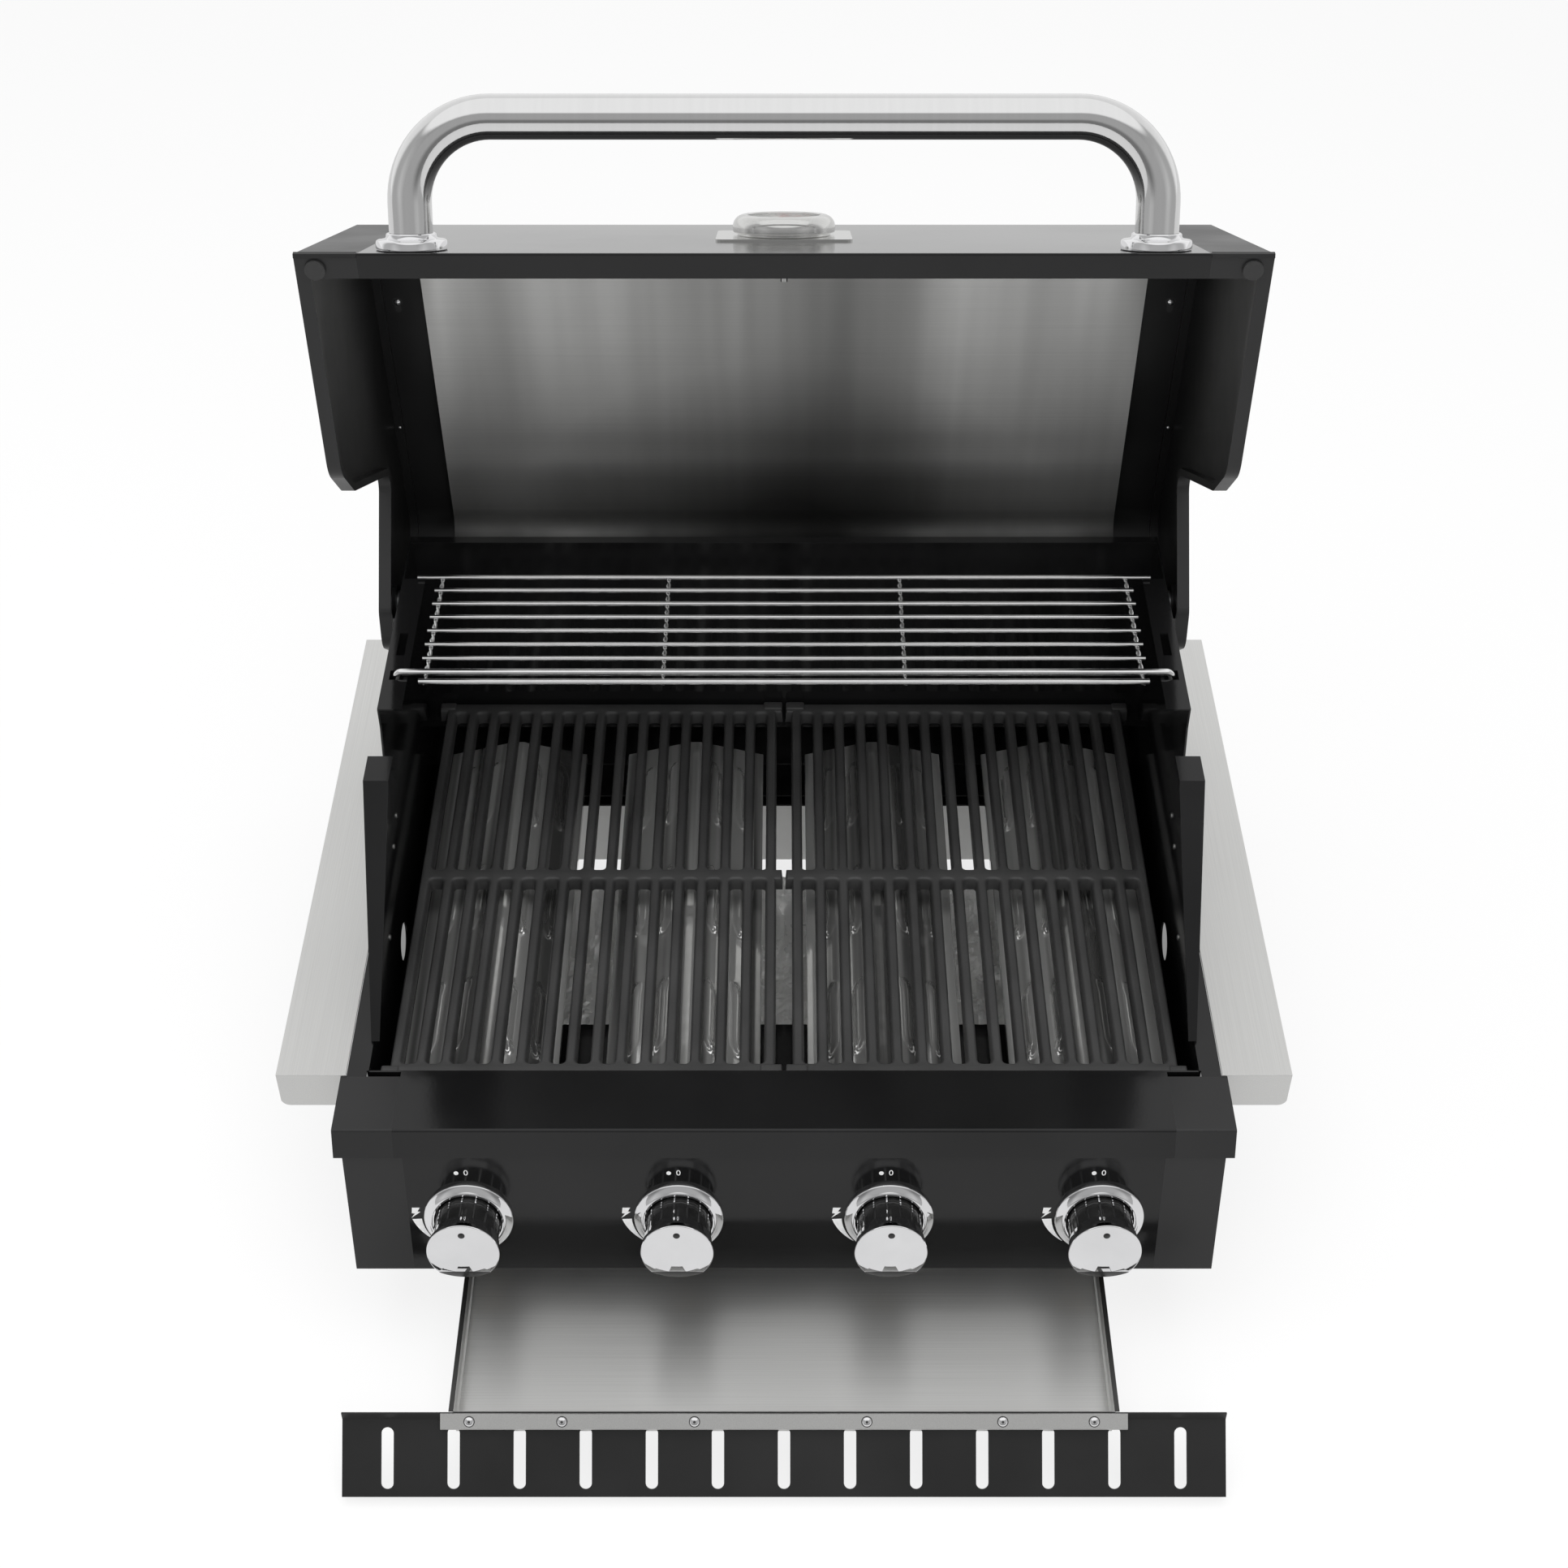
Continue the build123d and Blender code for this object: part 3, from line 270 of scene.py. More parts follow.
def pan_steel(f):
    """Tray: brushed across, mirror-like along."""
    lines = f.noise(1.0, 3.0, (5, 1300, 1300))
    cloud = f.noise(6.0, 3.0)
    f.surface({
        "Base Color": f.tint(f.spread(lines, 0, 1), shade(steel(), 1.35), shade(steel(), 1.48)),
        "Metallic": 1.0,
        "Roughness": f.spread(cloud, 0.36, 0.42),
        "Normal": f.bump(lines, 0.03, 0.0002),
        "Anisotropic": 0.9, "Tangent": f.across(),
    })


def foil(f):
    """Crinkled foil in the back of the tray."""
    cloud = f.noise(26.0, 4.0)
    crease = f.noise(55.0, 3.0, (1, 0.5, 1))
    f.surface({
        "Base Color": f.tint(f.spread(cloud, 0, 1), shade(steel(), 1.6), shade(steel(), 1.66)),
        "Metallic": 0.3,
        "Roughness": f.spread(cloud, 0.22, 0.30),
        "Normal": f.bump(crease, 0.9, 0.005),
    })


def mill_steel(f):
    """Bare sheet inside the housing."""
    cloud = f.noise(14.0, 4.0)
    f.surface({
        "Base Color": f.tint(f.spread(cloud, 0, 1), shade(steel(), 1.35), shade(steel(), 1.55)),
        "Metallic": 0.2,
        "Roughness": f.spread(cloud, 0.45, 0.55),
    })


def case_steel(f):
    brushed(f, shade(steel(), 1.15), 0.17, (6, 1300, 1300), deep=0.01)


def plain_steel(f):
    brushed(f, shade(steel(), 0.7), 0.40, (6, 900, 900))


def rim_painted_shade(f):
    """Edge of the tray: brushed steel darkened to near black, a painted shadow line along it."""
    brushed(f, shade(steel(), 0.16), 0.42, (900, 6, 900))


def tent_steel(f):
    """Bright rolled steel with a little heat haze in its sheen; its colour runs in light and dark lengthwise
    bands, which are painted reflections.
    """
    wave = f.noise(7.0, 2.0, (1, 0.25, 1))
    haze = f.noise(22.0, 4.0)
    # Painted reflections: lengthwise light and dark bands in the colour.
    painted_reflection_band = f.noise(1.0, 2.0, (60, 1.2, 1.2))
    f.surface({
        "Base Color": f.tint(f.spread(painted_reflection_band, 0, 1, 0.42, 0.58), shade(steel(), 0.4), shade(steel(), 1.66)),
        "Metallic": 0.72,
        "Roughness": f.spread(haze, 0.06, 0.09),
        "Normal": f.bump(wave, 0.08, 0.003),
    })


def chrome(f):
    smear = f.noise(30.0, 4.0)
    f.surface({
        "Base Color": f.tint(f.spread(smear, 0, 1), (0.80, 0.80, 0.81), (0.86, 0.86, 0.87)),
        "Metallic": 1.0,
        "Roughness": f.spread(smear, 0.03, 0.07),
    })


def wire_steel(f):
    """Bright drawn wire."""
    smear = f.noise(60.0, 3.0)
    f.surface({
        "Base Color": f.tint(f.spread(smear, 0, 1), (0.78, 0.78, 0.78), (0.86, 0.86, 0.86)),
        "Metallic": 1.0,
        "Roughness": f.spread(smear, 0.12, 0.18),
    })


def tube_steel(f):
    """Polished tube: nearly a mirror, with faint lines round it."""
    lines = f.noise(1.0, 2.0, (260, 12, 12))
    f.surface({
        "Base Color": f.tint(f.spread(lines, 0, 1), (0.75, 0.75, 0.75), (0.77, 0.77, 0.77)),
        "Metallic": 1.0,
        "Roughness": f.spread(lines, 0.08, 0.10),
    })


def cast_iron(f):
    """Enamelled cast iron: dark, dull and slightly pitted."""
    colour = tuple(bpy.context.scene.grill_colours.iron)
    pits = f.noise(420.0, 4.0, rough=0.6)
    cloud = f.noise(14.0, 4.0)
    f.surface({
        "Base Color": f.tint(f.spread(cloud, 0, 1), shade(colour, 0.8), shade(colour, 1.25)),
        "Roughness": f.spread(pits, 0.34, 0.50),
        "Normal": f.bump(pits, 0.25, 0.0006),
    })


def knob_black(f):
    haze = f.noise(60.0, 3.0)
    f.surface({
        "Base Color": f.tint(f.spread(haze, 0, 1), (0.010, 0.010, 0.010), (0.018, 0.018, 0.018)),
        "Roughness": f.spread(haze, 0.12, 0.2),
    })


def tray_black(f):
    grain = f.noise(1200.0, 2.0)
    cloud = f.noise(9.0, 4.0)
    f.surface({
        "Base Color": f.tint(f.spread(cloud, 0, 1), (0.009, 0.009, 0.009), (0.013, 0.013, 0.013)),
        "Roughness": f.spread(cloud, 0.28, 0.38), "Specular IOR Level": 0.4,
        "Normal": f.bump(grain, 0.06, 0.0003),
    })


def brass(f):
    cloud = f.noise(60.0, 4.0)
    f.surface({
        "Base Color": f.tint(f.spread(cloud, 0, 1), (0.55, 0.38, 0.13), (0.75, 0.56, 0.25)),
        "Metallic": 1.0, "Roughness": f.spread(cloud, 0.25, 0.42),
    })


def zinc(f):
    cloud = f.noise(90.0, 4.0)
    f.surface({
        "Base Color": f.tint(f.spread(cloud, 0, 1), (0.42, 0.43, 0.44), (0.60, 0.61, 0.62)),
        "Metallic": 1.0, "Roughness": f.spread(cloud, 0.28, 0.45),
    })


def ceramic(f):
    cloud = f.noise(120.0, 3.0)
    f.surface({"Base Color": f.tint(f.spread(cloud, 0, 1), (0.78, 0.76, 0.72), (0.86, 0.85, 0.82)),
               "Roughness": f.spread(cloud, 0.2, 0.3)})


def rubber(f):
    # Black rubber; the same finish gives the gauge's printed figures and the painted shade at screw heads and
    # keyholes.
    grain = f.noise(900.0, 3.0)
    f.surface({"Base Color": f.tint(f.spread(grain, 0, 1), (0.022, 0.022, 0.022), (0.032, 0.032, 0.032)),
               "Roughness": f.spread(grain, 0.55, 0.7), "Normal": f.bump(grain, 0.2, 0.0003)})


def needle_red(f):
    cloud = f.noise(200.0, 2.0)
    f.surface({"Base Color": f.tint(f.spread(cloud, 0, 1), (0.5, 0.02, 0.015), (0.6, 0.035, 0.02)),
               "Roughness": f.spread(cloud, 0.3, 0.4)})


def print_white(f):
    cloud = f.noise(300.0, 2.0)
    f.surface({"Base Color": f.tint(f.spread(cloud, 0, 1), (0.78, 0.78, 0.78), (0.86, 0.86, 0.86)),
               "Roughness": f.spread(cloud, 0.4, 0.5)})


def dial_white(f):
    cloud = f.noise(80.0, 2.0)
    f.surface({"Base Color": f.tint(f.spread(cloud, 0, 1), (0.82, 0.82, 0.80), (0.87, 0.87, 0.85)),
               "Roughness": f.spread(cloud, 0.45, 0.55)})


def glass(f):
    haze = f.noise(40.0, 3.0)
    f.surface({"Base Color": (0.95, 0.97, 0.97, 1), "Roughness": f.spread(haze, 0.02, 0.05),
               "Alpha": 0.16})


FINISH_MAKERS = {
    "gloss_enamel": gloss_enamel, "satin_enamel": satin_enamel, "flange_steel": flange_steel,
    "liner_steel": liner_steel, "pan_steel": pan_steel, "case_steel": case_steel,
    "plain_steel": plain_steel, "tent_steel": tent_steel, "chrome": chrome, "tube_steel": tube_steel,
    "wire_steel": wire_steel, "cast_iron": cast_iron, "knob_black": knob_black,
    "tray_black": tray_black, "rim_painted_shade": rim_painted_shade, "mill_steel": mill_steel, "foil": foil, "brass": brass,
    "zinc": zinc, "ceramic": ceramic, "rubber": rubber, "needle_red": needle_red,
    "print_white": print_white, "dial_white": dial_white, "glass": glass,
}


# Making pieces
def add_piece(name, mesh, body, finishes, replaced=()):
    """Puts a mesh in the scene as a piece that rides on a body."""
    piece = bpy.data.objects.new(name, mesh)
    bpy.context.scene.collection.objects.link(piece)
    for each in finishes:
        mesh.materials.append(finish(each))
    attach(piece, body)
    if replaced:
        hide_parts(*replaced)
    return piece


def to_mesh(bm, name, matrix, smooth=True, crease=35.0):
    """Finishes a bmesh drawn in millimetres."""
    bm.transform(matrix)
    bmesh.ops.recalc_face_normals(bm, faces=bm.faces)
    for face in bm.faces:
        face.smooth = smooth
    limit = math.radians(crease)
    for edge in bm.edges:
        edge.smooth = len(edge.link_faces) == 2 and edge.calc_face_angle(0.0) < limit
    mesh = bpy.data.meshes.new(name)
    bm.to_mesh(mesh)
    bm.free()
    return mesh


def lathe(bm, profile, turns=64, material=0, move=Matrix.Identity(4)):
    """Turns a profile of (radius, height) about the local z axis."""
    rings = []
    for radius, height in profile:
        if radius < 1e-6:
            rings.append([bm.verts.new(move @ Vector((0, 0, height)))])
            continue
        ring = []
        for i in range(turns):
            a = 2 * math.pi * i / turns
            ring.append(bm.verts.new(move @ Vector((radius * math.cos(a), radius * math.sin(a), height))))
        rings.append(ring)
    for low, high in zip(rings, rings[1:]):
        for i in range(turns):
            j = (i + 1) % turns
            corners = [low[i % len(low)], low[j % len(low)], high[j % len(high)], high[i % len(high)]]
            unique = list(dict.fromkeys(corners))
            if len(unique) > 2:
                bm.faces.new(unique).material_index = material
    return rings


def tube(bm, points, radius, sides=12, material=0):
    """A round wire through points, with flat ends."""
    points = [Vector(p) for p in points]
    side = Vector((0, 0, 1)) if abs((points[1] - points[0]).normalized().z) < 0.9 else Vector((1, 0, 0))
    rings = []
    for i, point in enumerate(points):
        before = points[max(i - 1, 0)]
        after = points[min(i + 1, len(points) - 1)]
        run = (after - before).normalized()
        across = run.cross(side).normalized()
        side = across.cross(run).normalized()
        rings.append([bm.verts.new(point + (across * math.cos(a) + side * math.sin(a)) * radius)
                      for a in (2 * math.pi * k / sides for k in range(sides))])
    for low, high in zip(rings, rings[1:]):
        for k in range(sides):
            n = (k + 1) % sides
            bm.faces.new((low[k], low[n], high[n], high[k])).material_index = material
    bm.faces.new(rings[0]).material_index = material
    bm.faces.new(rings[-1][::-1]).material_index = material


def block(bm, low, high, material=0, move=Matrix.Identity(4)):
    """A box between two corners."""
    low, high = Vector(low), Vector(high)
    size = high - low
    made = bmesh.ops.create_cube(bm, size=1.0)
    matrix = move @ Matrix.Translation((low + high) / 2) @ Matrix.Diagonal((*size, 1))
    bmesh.ops.transform(bm, matrix=matrix, verts=made["verts"])
    for face in {f for v in made["verts"] for f in v.link_faces}:
        face.material_index = material


def plate(bm, outline, thickness, material=0, move=Matrix.Identity(4)):
    """A flat plate of that outline, lifted by its thickness."""
    low = [bm.verts.new(move @ Vector((x, y, 0))) for x, y in outline]
    high = [bm.verts.new(move @ Vector((x, y, thickness))) for x, y in outline]
    bm.faces.new(low[::-1]).material_index = material
    bm.faces.new(high).material_index = material
    for i in range(len(outline)):
        j = (i + 1) % len(outline)
        bm.faces.new((low[i], low[j], high[j], high[i])).material_index = material


def round_corners(x0, x1, y0, y1, radius, steps=6):
    """Points of a rounded rectangle, anticlockwise."""
    points = []
    corners = ((x1 - radius, y0 + radius, -90), (x1 - radius, y1 - radius, 0),
               (x0 + radius, y1 - radius, 90), (x0 + radius, y0 + radius, 180))
    for cx, cy, start in corners:
        for k in range(steps + 1):
            a = math.radians(start + 90 * k / steps)
            points.append((cx + radius * math.cos(a), cy + radius * math.sin(a)))
    return points


def pierced(bm, shapes, levels):
    """A plate between levels; each shape gives its outline or hole for how far the metal is cut back."""
    ends = ([], [])
    for shape in shapes:
        rings = [[bm.verts.new((x, y, z)) for x, y in shape(cut)] for z, cut in levels]
        for low, high in zip(rings, rings[1:]):
            for i in range(len(low)):
                j = (i + 1) % len(low)
                bm.faces.new((low[i], low[j], high[j], high[i]))
        for end, ring in zip(ends, (rings[0], rings[-1])):
            end += [bm.edges.get((ring[i - 1], ring[i])) for i in range(len(ring))]
    for edges in ends:
        bmesh.ops.triangle_fill(bm, use_beauty=True, edges=edges)


def dress(finish_name, *nodes, bevel=0.0, segments=2):
    """Gives CAD nodes their finish, and soft edges where bevel is set."""
    for node in nodes:
        piece = NODES[node]
        piece.data.materials.clear()
        piece.data.materials.append(finish(finish_name))
        for polygon in piece.data.polygons:
            polygon.material_index = 0
        if bevel:
            soft = piece.modifiers.new("soft edges", "BEVEL")
            soft.width = bevel * MM
            soft.segments = segments
            soft.limit_method = "ANGLE"
            soft.angle_limit = math.radians(40)
            soft.harden_normals = False


def smooth(share):
    """Eases a share between nothing and all."""
    share = min(1.0, max(0.0, share))
    return share * share * (3 - 2 * share)


def each_place(stem):
    return [f"{stem}_{place}" for place in PLACES]


# Sizes and colours
class GrillColours(bpy.types.PropertyGroup):
    """Colours of the finishes."""

    enamel: FloatVectorProperty(name="Gloss enamel", description="Colour of the fired enamel",
                                subtype="COLOR", min=0, max=1, default=(0.0065, 0.0065, 0.0067))
    satin: FloatVectorProperty(name="Satin enamel", description="Colour of the cast end pieces",
                               subtype="COLOR", min=0, max=1, default=(0.013, 0.013, 0.0133))
    steel: FloatVectorProperty(name="Stainless steel", description="Colour of the bare steel",
                               subtype="COLOR", min=0, max=1, default=(0.60, 0.60, 0.59))
    iron: FloatVectorProperty(name="Cast iron", description="Colour of the grates",
                              subtype="COLOR", min=0, max=1, default=(0.034, 0.034, 0.034))


class GrillSizes(bpy.types.PropertyGroup):
    """Sizes of the fine pieces."""

    knob_radius: FloatProperty(name="Knob radius", description="Radius of the knob's face", subtype="DISTANCE",
                               unit="LENGTH", default=0.0285, min=0.01)
    knob_flutes: IntProperty(name="Knob panels", description="Panels round the knob's grip", default=15, min=6)
    louvre_rise: FloatProperty(name="Louvre height", description="How far a scoop stands up",
                               subtype="DISTANCE", unit="LENGTH", default=0.0036, min=0.0005)
    bar_edge: FloatProperty(name="Grate edge radius", description="Rounding of the grate's bars",
                            subtype="DISTANCE", unit="LENGTH", default=0.0018, min=0.0002)
    cross_wave: FloatProperty(name="Cross wire wave", description="How far the rack's cross wires weave",
                              subtype="DISTANCE", unit="LENGTH", default=0.0016, min=0.0)
    view_length: FloatProperty(name="Camera length", description="Focal length of the camera",
                               subtype="DISTANCE_CAMERA", default=53.16, min=10)


class GrillOperator(bpy.types.Operator):
    """Makes one group of the grill's pieces."""

    bl_idname = "grill.base"
    bl_label = "Grill pieces"
    bl_options = {"REGISTER", "UNDO"}

    def execute(self, context):
        self.make(context.scene.grill_sizes)
        return {"FINISHED"}


class GRILL_OT_stage(GrillOperator):
    """Sets the floor, the light and the camera."""

    bl_idname = "grill.stage"
    bl_label = "Stage"

    def make(self, sizes):
        self.make_world()
        self.make_floor()
        self.make_lights()
        self.make_camera(sizes)

    def make_world(self):
        world = bpy.data.worlds.new("studio")
        bpy.context.scene.world = world
        world.use_nodes = True
        f = Finish(world.node_tree)
        camera = f.node("ShaderNodeLightPath", output="Is Camera Ray")
        glossy = f.node("ShaderNodeLightPath", output="Is Glossy Ray")
        clear = f.node("ShaderNodeLightPath", output="Is Transmission Ray")
        towards = f.node("ShaderNodeTexCoord", output="Generated")
        height = f.node("ShaderNodeSeparateXYZ", {}, {0: towards}, output="Z")
        depth = f.node("ShaderNodeSeparateXYZ", {}, {0: towards}, output="Y")
        side = f.node("ShaderNodeSeparateXYZ", {}, {0: towards}, output="X")
        overhead = f.spread(height, 0.0, 1.0, 0.62, 0.74)
        backdrop = f.spread(depth, 0.0, 1.0, -0.25, 0.25) * (0.96 - height * 0.2)
        wings = f.spread(side * side, 0.0, 0.25, 0.20, 0.55)
        window = f.spread(depth, 1.0, 0.0, -0.75, -0.30) * f.spread(height, 0.0, 1.0, 0.12, 0.28)
        room = 0.20 + wings + window * 0.22
        studio = f.node("ShaderNodeMath", {"operation": "MAXIMUM"}, {0: room, 1: backdrop})
        studio = f.node("ShaderNodeMath", {"operation": "MAXIMUM"}, {0: studio, 1: overhead})
        plain = f.node("ShaderNodeMath", {"operation": "MAXIMUM"}, {0: camera, 1: clear})
        level = plain * 1.0 + (1 - plain) * (glossy * studio + (1 - glossy) * 0.62)
        light = f.node("ShaderNodeBackground", {}, {"Color": (1, 1, 1, 1), "Strength": level})
        f.node("ShaderNodeOutputWorld", {}, {"Surface": light})

    def make_floor(self):
        bm = bmesh.new()
        bmesh.ops.create_grid(bm, x_segments=1, y_segments=1, size=9000.0)
        mesh = to_mesh(bm, "floor", Matrix.Scale(MM, 4), smooth=False)
        floor = bpy.data.objects.new("floor", mesh)
        bpy.context.scene.collection.objects.link(floor)
        material = bpy.data.materials.new("floor_paper")
        material.use_nodes = True
        f = Finish(material.node_tree)
        paper = f.node("ShaderNodeBsdfPrincipled", {}, {
            "Base Color": (0.86, 0.86, 0.86, 1), "Roughness": 0.9, "Specular IOR Level": 0.0})
        camera = f.node("ShaderNodeLightPath", output="Is Camera Ray")
        glossy = f.node("ShaderNodeLightPath", output="Is Glossy Ray")
        clear = f.node("ShaderNodeLightPath", output="Is Transmission Ray")
        glow = f.node("ShaderNodeEmission", {}, {"Color": (1, 1, 1, 1), "Strength": 1 - glossy * 0.22})
        share = camera * 0.8 + glossy * 0.95 + clear * 0.8
        both = f.node("ShaderNodeMixShader", {}, {0: share, 1: paper, 2: glow})
        f.node("ShaderNodeOutputMaterial", {}, {"Surface": both})
        mesh.materials.append(material)

    def make_lights(self):
        for name, place, size, power in (
                ("top_light", (0.0, -0.4, 3.2), 2.6, 70.0),
                ("front_light", (0.9, -3.0, 2.6), 1.6, 26.0),
                ("left_light", (-3.0, -0.4, 1.8), 1.6, 16.0)):
            lamp = bpy.data.lights.new(name, "AREA")
            lamp.shape = "SQUARE"
            lamp.size = size
            lamp.energy = power
            made = bpy.data.objects.new(name, lamp)
            bpy.context.scene.collection.objects.link(made)
            made.location = place
            made.visible_glossy = False
            aim = Vector((0.0, 0.0, 0.4)) - Vector(place)
            made.rotation_euler = aim.to_track_quat("-Z", "Y").to_euler()

    def make_camera(self, sizes):
        data = bpy.data.cameras.new("camera")
        data.sensor_width = 36.0
        data.lens = sizes.view_length
        camera = bpy.data.objects.new("camera", data)
        bpy.context.scene.collection.objects.link(camera)
        camera.location = at(0.0, -1189.2, 1413.8)
        camera.rotation_euler = (math.radians(90 - 42.73), 0.0, 0.0)
        data.clip_start = 0.05
        data.clip_end = 50.0
        scene = bpy.context.scene
        scene.camera = camera
        scene.view_settings.view_transform = "Standard"


class GRILL_OT_enamel(GrillOperator):
    """Finishes the black enamelled sheet and cast pieces."""

    bl_idname = "grill.enamel"
    bl_label = "Enamel"

    def make(self, sizes):
        dress("gloss_enamel", "fascia", "control_panel", "lid_skin", "firebox_side_left",
              "firebox_side_right", "firebox_front", "firebox_back", "firebox_floor",
              "housing_side_left", "housing_side_right", bevel=0.4)
        dress("satin_enamel", "end_cap_left", "end_cap_right", "lid_end_left", "lid_end_right", bevel=0.7)
        dress("tray_black", "drip_tray_face", bevel=0.4)


class GRILL_OT_steel(GrillOperator):
    """Finishes the bare steel, brass, rubber and ceramic pieces."""

    bl_idname = "grill.steel"
    bl_label = "Steel and small metals"

    def make(self, sizes):
        self.add_flanges()
        dress("liner_steel", "lid_liner")
        dress("mill_steel", "housing_back")
        dress("plain_steel", "tray_runners", *each_place("burner"))
        dress("zinc", "gas_manifold", "hinge_pins")
        dress("brass", "gas_inlet", *each_place("gas_valve"), *each_place("valve_stem"), bevel=0.3)
        dress("ceramic", "igniter_electrodes")
        dress("rubber", "lid_bumpers", bevel=0.6)
        dress("case_steel", "thermometer_probe")
        dress("needle_red", "thermometer_needle")
        dress("chrome", "drip_tray_screws", "knob_bezels", "handle_bosses", *each_place("knob"))

    def add_flanges(self):
        """Worktop flanges: folded sheet with square corners."""
        inner, outer, deep, lip, top, corner = 346.5, 402.5, 545.0, 37.0, 1.5, 7.0
        turns = [math.radians(15 * k) for k in range(7)]
        for side, name in ((1, "right"), (-1, "left")):
            bm = bmesh.new()
            curve = [(corner - corner * math.cos(a), top - lip + corner - corner * math.sin(a)) for a in turns]
            plans = (
                [(inner, 0, top), (outer, 0, top), (outer, deep, top), (inner, deep, top)],
                [(inner, 0, top), (inner, 0, top - lip)] +
                [(outer - run, 0, z) for run, z in curve[::-1]] + [(outer, 0, top)],
                [(outer, 0, top)] + [(outer, run, z) for run, z in curve] +
                [(outer, deep, top - lip), (outer, deep, top)])
            for plan in plans:
                bm.faces.new([bm.verts.new(point) for point in plan])
            bmesh.ops.remove_doubles(bm, verts=bm.verts[:], dist=0.01)
            bmesh.ops.recalc_face_normals(bm, faces=bm.faces)
            bm.faces.ensure_lookup_table()
            if bm.faces[0].normal.z < 0:
                bmesh.ops.reverse_faces(bm, faces=bm.faces[:])
            bm.transform(LAYOUT_PLACE @ Matrix.Diagonal((side, 1, 1, 1)))
            if side < 0:
                bmesh.ops.reverse_faces(bm, faces=bm.faces[:])
            mesh = bpy.data.meshes.new("flange")
            bm.to_mesh(mesh)
            bm.free()
            piece = add_piece(f"counter_flange_{name}_look", mesh, "chassis", ["flange_steel"],
                              [f"counter_flange_{name}"])
            thick = piece.modifiers.new("sheet", "SOLIDIFY")
            thick.thickness = top * MM
            thick.offset = -1.0
            soft = piece.modifiers.new("soft edges", "BEVEL")
            soft.width = 1.0 * MM
            soft.segments = 3
            soft.limit_method = "ANGLE"
            soft.angle_limit = math.radians(40)


class GRILL_OT_knobs(GrillOperator):
    """Makes the four knobs with their panelled grips and mirror faces."""

    bl_idname = "grill.knobs"
    bl_label = "Knobs"

    def make(self, sizes):
        face = sizes.knob_radius / MM
        for place, x in zip(PLACES, BURNER_XS):
            bm = bmesh.new()
            self.add_grip(bm, sizes.knob_flutes)
            self.add_cap(bm, face)
            mesh = to_mesh(bm, "knob_look", knob_place(x), crease=28)
            add_piece(f"knob_{place}_look", mesh, f"knob_{place}", ["knob_black", "chrome"],
                      [f"knob_{place}"])
        bm = bmesh.new()
        profile = [(26.5, 0.2), (26.5, 5.4), (27.1, 6.3), (28.2, 6.4), (28.6, 7.0), (29.8, 7.0), (30.5, 6.4),
                   (34.0, 3.5), (34.7, 3.4), (35.3, 2.9), (35.5, 2.2), (35.5, 0.1)]
        for x in BURNER_XS:
            lathe(bm, profile, 96, 0, knob_place(x))
        mesh = to_mesh(bm, "bezels", Matrix.Identity(4), crease=50)
        add_piece("knob_bezels_look", mesh, "chassis", ["chrome"], ["knob_bezels"])

    def add_grip(self, bm, panels):
        """Black grip: flat panels parted by narrow ridges."""
        per_panel = ((0.0, 26.0), (0.05, 26.0), (0.09, 25.2), (0.5, 25.5), (0.91, 25.2), (0.95, 26.0))
        ring = []
        for i in range(panels):
            for share, radius in per_panel:
                a = 2 * math.pi * (i + share) / panels
                ring.append((radius * math.cos(a), radius * math.sin(a)))
        rings = [[bm.verts.new((x, y, height)) for x, y in ring] for height in (5.2, 33.5)]
        count = len(ring)
        for i in range(count):
            j = (i + 1) % count
            ridge = i % len(per_panel) in (0, len(per_panel) - 1)
            bm.faces.new((rings[0][i], rings[0][j], rings[1][j], rings[1][i])).material_index = int(ridge)
        bm.faces.new(rings[0][::-1]).material_index = 0
        bm.faces.new(rings[1]).material_index = 0

    def add_cap(self, bm, face):
        """Chromed cap: stepped rim, mirror face, a slanting flat and a sighting dimple."""
        cap = bmesh.new()
        profile = [(0, 28.6), (26.3, 28.6), (26.9, 29.2), (27.3, 33.0), (27.6, 36.4), (face - 0.4, 37.0),
                   (face, 37.6), (face, 41.0), (face - 0.3, 41.5), (face - 1.0, 41.75), (face * 0.7, 41.9),
                   (face * 0.35, 42.0), (0, 42.0)]
        lathe(cap, profile, 128, 1)
        normal = Vector((0.0, -0.42, 1.0)).normalized()
        cut = bmesh.ops.bisect_plane(cap, geom=cap.verts[:] + cap.edges[:] + cap.faces[:],
                                     plane_co=(0.0, -18.6, 42.0), plane_no=normal, clear_outer=True)
        edges = [e for e in cut["geom_cut"] if isinstance(e, bmesh.types.BMEdge)]
        bmesh.ops.edgeloop_fill(cap, edges=edges, mat_nr=0)
        mesh = bpy.data.meshes.new("cap")
        cap.to_mesh(mesh)
        cap.free()
        bm.from_mesh(mesh)
        bpy.data.meshes.remove(mesh)
        dimple = [(2.7, 42.02), (2.3, 42.0), (2.0, 41.5), (1.2, 41.0), (0, 40.8)]
        lathe(bm, [(r, 84.05 - h) for r, h in dimple[::-1]], 24, 0,
              Matrix.Translation((0, 18.5, 0)) @ Matrix.Scale(0.5, 4, (0, 0, 1)) @
              Matrix.Translation((0, 0, 42.0)))


